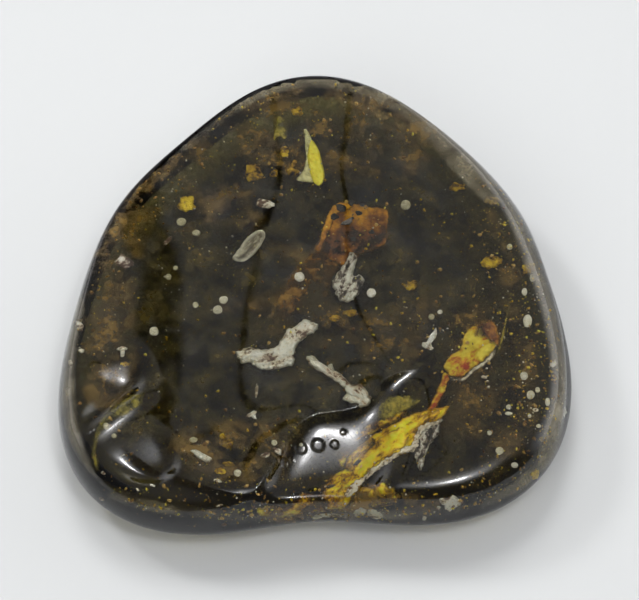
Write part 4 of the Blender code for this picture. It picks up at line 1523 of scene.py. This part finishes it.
# %% Scatter the specks
def scatter(name, material, per_mm2, smallest, largest, deepest, cluster_size, clearing, seed):
    """One mesh of specks. Sizes and depths are in millimetres."""
    layer = make_layer(f"{name}_layer", cluster_size, clearing, seed)
    speck = make_speck(seed)
    modifier = layer.modifiers.new("scatter", "NODES")
    modifier.node_group = SCATTER
    values = {"Density": per_mm2 / MM**2, "Seed": seed, "Smallest": smallest * MM, "Largest": largest * MM,
              "Deepest": deepest * MM, "Speck": speck, "Material": material}
    for item in SCATTER.interface.items_tree:
        if item.in_out == "INPUT" and item.name in values:
            modifier[item.identifier] = values[item.name]
    layer.update_tag()
    graph = bpy.context.evaluated_depsgraph_get()
    mesh = bpy.data.meshes.new_from_object(layer.evaluated_get(graph))
    mesh.name = name
    mesh.shade_smooth()
    piece = bpy.data.objects.new(name, mesh)
    bpy.context.scene.collection.objects.link(piece)
    bpy.data.objects.remove(layer, do_unlink=True)
    bpy.data.objects.remove(speck, do_unlink=True)
    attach(piece, "root")
    print(f"{name}: {len(mesh.polygons)} faces")


# The golden flecks and motes are painted glints: their bright yellow stands in for light mirrored by small
# stress discs. The brown and pale dust keep their own colour.
scatter("golden_flecks", PAINTED_GLINT_GOLD, 3.6, 0.03, 0.18, 0.9, 34.0, 0.85, 4)
scatter("brown_dust", FLECK_BROWN, 3.0, 0.03, 0.22, 1.8, 45.0, 0.65, 9)
scatter("pale_dust", PALE, 2.0, 0.02, 0.11, 0.6, 40.0, 0.75, 14)
scatter("golden_motes", FIN, 3.2, 0.02, 0.065, 0.5, 26.0, 0.85, 21)

# %% [markdown]
# ## Floor and light
#
# The stone lies on white paper in soft light. A key lamp at the back left casts the shadow towards the
# front, a lamp at the back lights the paper, and a wide one at the front left fills the shadow. In
# a polished dark stone almost all that is seen is the mirror image of the room, so the room matters as
# much as the lamps, and is built on its own in the next step.

# %% Lay the floor
FLOOR_HALF = 0.9
FLOOR_LEVEL = -0.02 * MM
PAPER_COLOUR = (0.56, 0.57, 0.57, 1)


def make_floor():
    bm = bmesh.new()
    bmesh.ops.create_grid(bm, x_segments=2, y_segments=2, size=FLOOR_HALF)
    mesh = bpy.data.meshes.new("floor")
    bm.to_mesh(mesh)
    bm.free()
    mesh.transform(Matrix.Translation((0, 0, FLOOR_LEVEL)))
    floor = bpy.data.objects.new("floor", mesh)
    bpy.context.scene.collection.objects.link(floor)
    material, nodes, _ = new_material("white_paper")
    shader = nodes["Principled BSDF"]
    shader.inputs["Base Color"].default_value = PAPER_COLOUR
    shader.inputs["Roughness"].default_value = 0.9
    shader.inputs["Specular IOR Level"].default_value = 0.2
    mesh.materials.append(material)
    return floor


make_floor()
print(f"floor: {2 * FLOOR_HALF:.1f} m wide")

# %% [markdown]
# The room is a pattern of plain tones by direction: bright low down to the right and behind, and dark
# towards the front where the camera stands. One wide and two thin upright bars at the back, as of a
# window, show in the polish as dark lines. A small bright core with a wide glow, high at the front
# right, gives the highlights. The lamps themselves aren't mirrored, so each can be set without the other.

# %% Set the room
LAMP_AZIMUTH = math.radians(140.0)  # from the back, towards the right
LAMP_ELEVATION = math.radians(71.0)
GLOW_STRENGTH = 6.0
GLOW_WIDTH = 0.018
CORE_STRENGTH = 36.0
CORE_WIDTH = 0.0018
BARS = ((-16.5, 1.6), (-6.3, 0.34), (3.4, 0.28))  # direction and half width in degrees
BAR_SOFTNESS = 1.5  # where a bar has faded out, in half widths
# Each passage says between which directions it runs. The tones also say how bright its start and end are.
RIGHT_TONES = (-0.35, 0.75, 0.85, 2.3)
FAR_LEFT_TONES = (-0.9, -0.45, 0.9, 0.0)
HIGH_TONES = (-0.5, 0.7, 0.34, 0.48)
FRONT_TONES = (0.65, 0.98, 0.13, 0.30)
LOW_TO_HIGH = (0.15, 0.62)
FRONT_TO_BACK = (-0.35, 0.05)
BLUE_SHARE = 1.02


def make_room():
    world = bpy.data.worlds.new("room")
    bpy.context.scene.world = world
    world.use_nodes = True
    nodes = world.node_tree.nodes
    links = world.node_tree.links
    where = nodes.new("ShaderNodeTexCoord")
    split = nodes.new("ShaderNodeSeparateXYZ")
    links.new(where.outputs["Generated"], split.inputs["Vector"])
    right, back, up = split.outputs

    def maths(operation, *values):
        return value_maths(nodes, links, operation, *values)

    def passage(*values):
        return value_between(nodes, links, *values, smooth=True)

    low_back = maths("ADD", passage(right, *RIGHT_TONES), passage(right, *FAR_LEFT_TONES))
    high_back = passage(right, *HIGH_TONES)
    back_tone = maths("ADD", maths("MULTIPLY", low_back, passage(up, *LOW_TO_HIGH, 1.0, 0.0)),
                      maths("MULTIPLY", high_back, passage(up, *LOW_TO_HIGH, 0.0, 1.0)))
    front_tone = passage(up, *FRONT_TONES)
    is_back = passage(back, *FRONT_TO_BACK, 0.0, 1.0)
    tone = maths("ADD", maths("MULTIPLY", back_tone, is_back),
                 maths("MULTIPLY", front_tone, maths("SUBTRACT", 1.0, is_back)))

    azimuth = maths("MULTIPLY", maths("ARCTAN2", right, back), 180 / math.pi)
    for direction, half_width in BARS:
        off_bar = maths("ABSOLUTE", maths("SUBTRACT", azimuth, direction))
        tone = maths("MULTIPLY", tone, passage(off_bar, half_width, half_width * BAR_SOFTNESS, 0.0, 1.0))

    sideways = math.cos(LAMP_ELEVATION)
    lamp = (math.sin(LAMP_AZIMUTH) * sideways, math.cos(LAMP_AZIMUTH) * sideways, math.sin(LAMP_ELEVATION))
    toward = nodes.new("ShaderNodeVectorMath")
    toward.operation = "DOT_PRODUCT"
    links.new(where.outputs["Generated"], toward.inputs[0])
    toward.inputs[1].default_value = lamp
    away = maths("SUBTRACT", 1.0, toward.outputs["Value"])
    for strength, width in ((GLOW_STRENGTH, GLOW_WIDTH), (CORE_STRENGTH, CORE_WIDTH)):
        glow = maths("EXPONENT", maths("DIVIDE", away, -width))
        tone = maths("ADD", tone, maths("MULTIPLY", glow, strength))
    colour = nodes.new("ShaderNodeCombineColor")
    links.new(tone, colour.inputs["Red"])
    links.new(tone, colour.inputs["Green"])
    links.new(maths("MULTIPLY", tone, BLUE_SHARE), colour.inputs["Blue"])
    links.new(colour.outputs["Color"], nodes["Background"].inputs["Color"])


make_room()
print("bars:", len(BARS))

# %% [markdown]
# The lamps are round, about 70 cm away and aimed at the stone. The wider a lamp is, the softer is the
# border of its shadow. The key lamp is the smallest, because the photo shows one fairly clear shadow.

# %% Hang the lamps
KEY_LAMP = ((-0.41, 0.29, 0.50), 0.14, 1.5)  # place in metres, width and power
BACK_LAMP = ((-0.05, 0.37, 0.65), 0.30, 2.3)
FILL_LAMP = ((-0.20, -0.45, 0.50), 0.50, 1.35)


def make_lamp(name, place, size, power):
    """A round soft lamp, aimed at the stone. The polish doesn't mirror it, only the room."""
    data = bpy.data.lights.new(name, "AREA")
    data.shape = "DISK"
    data.size = size
    data.energy = power
    lamp = bpy.data.objects.new(name, data)
    lamp.location = place
    lamp.rotation_euler = (-Vector(place)).to_track_quat("-Z", "Y").to_euler()
    lamp.visible_glossy = False
    bpy.context.scene.collection.objects.link(lamp)


make_lamp("key_lamp", *KEY_LAMP)
make_lamp("back_lamp", *BACK_LAMP)
make_lamp("fill_lamp", *FILL_LAMP)
bpy.context.scene.view_settings.view_transform = "Standard"
print("lamps:", len(bpy.data.lights))

# %% [markdown]
# ## The size
#
# The box of the solid model is printed near the start, after the import.

# %% Finish
print("done")
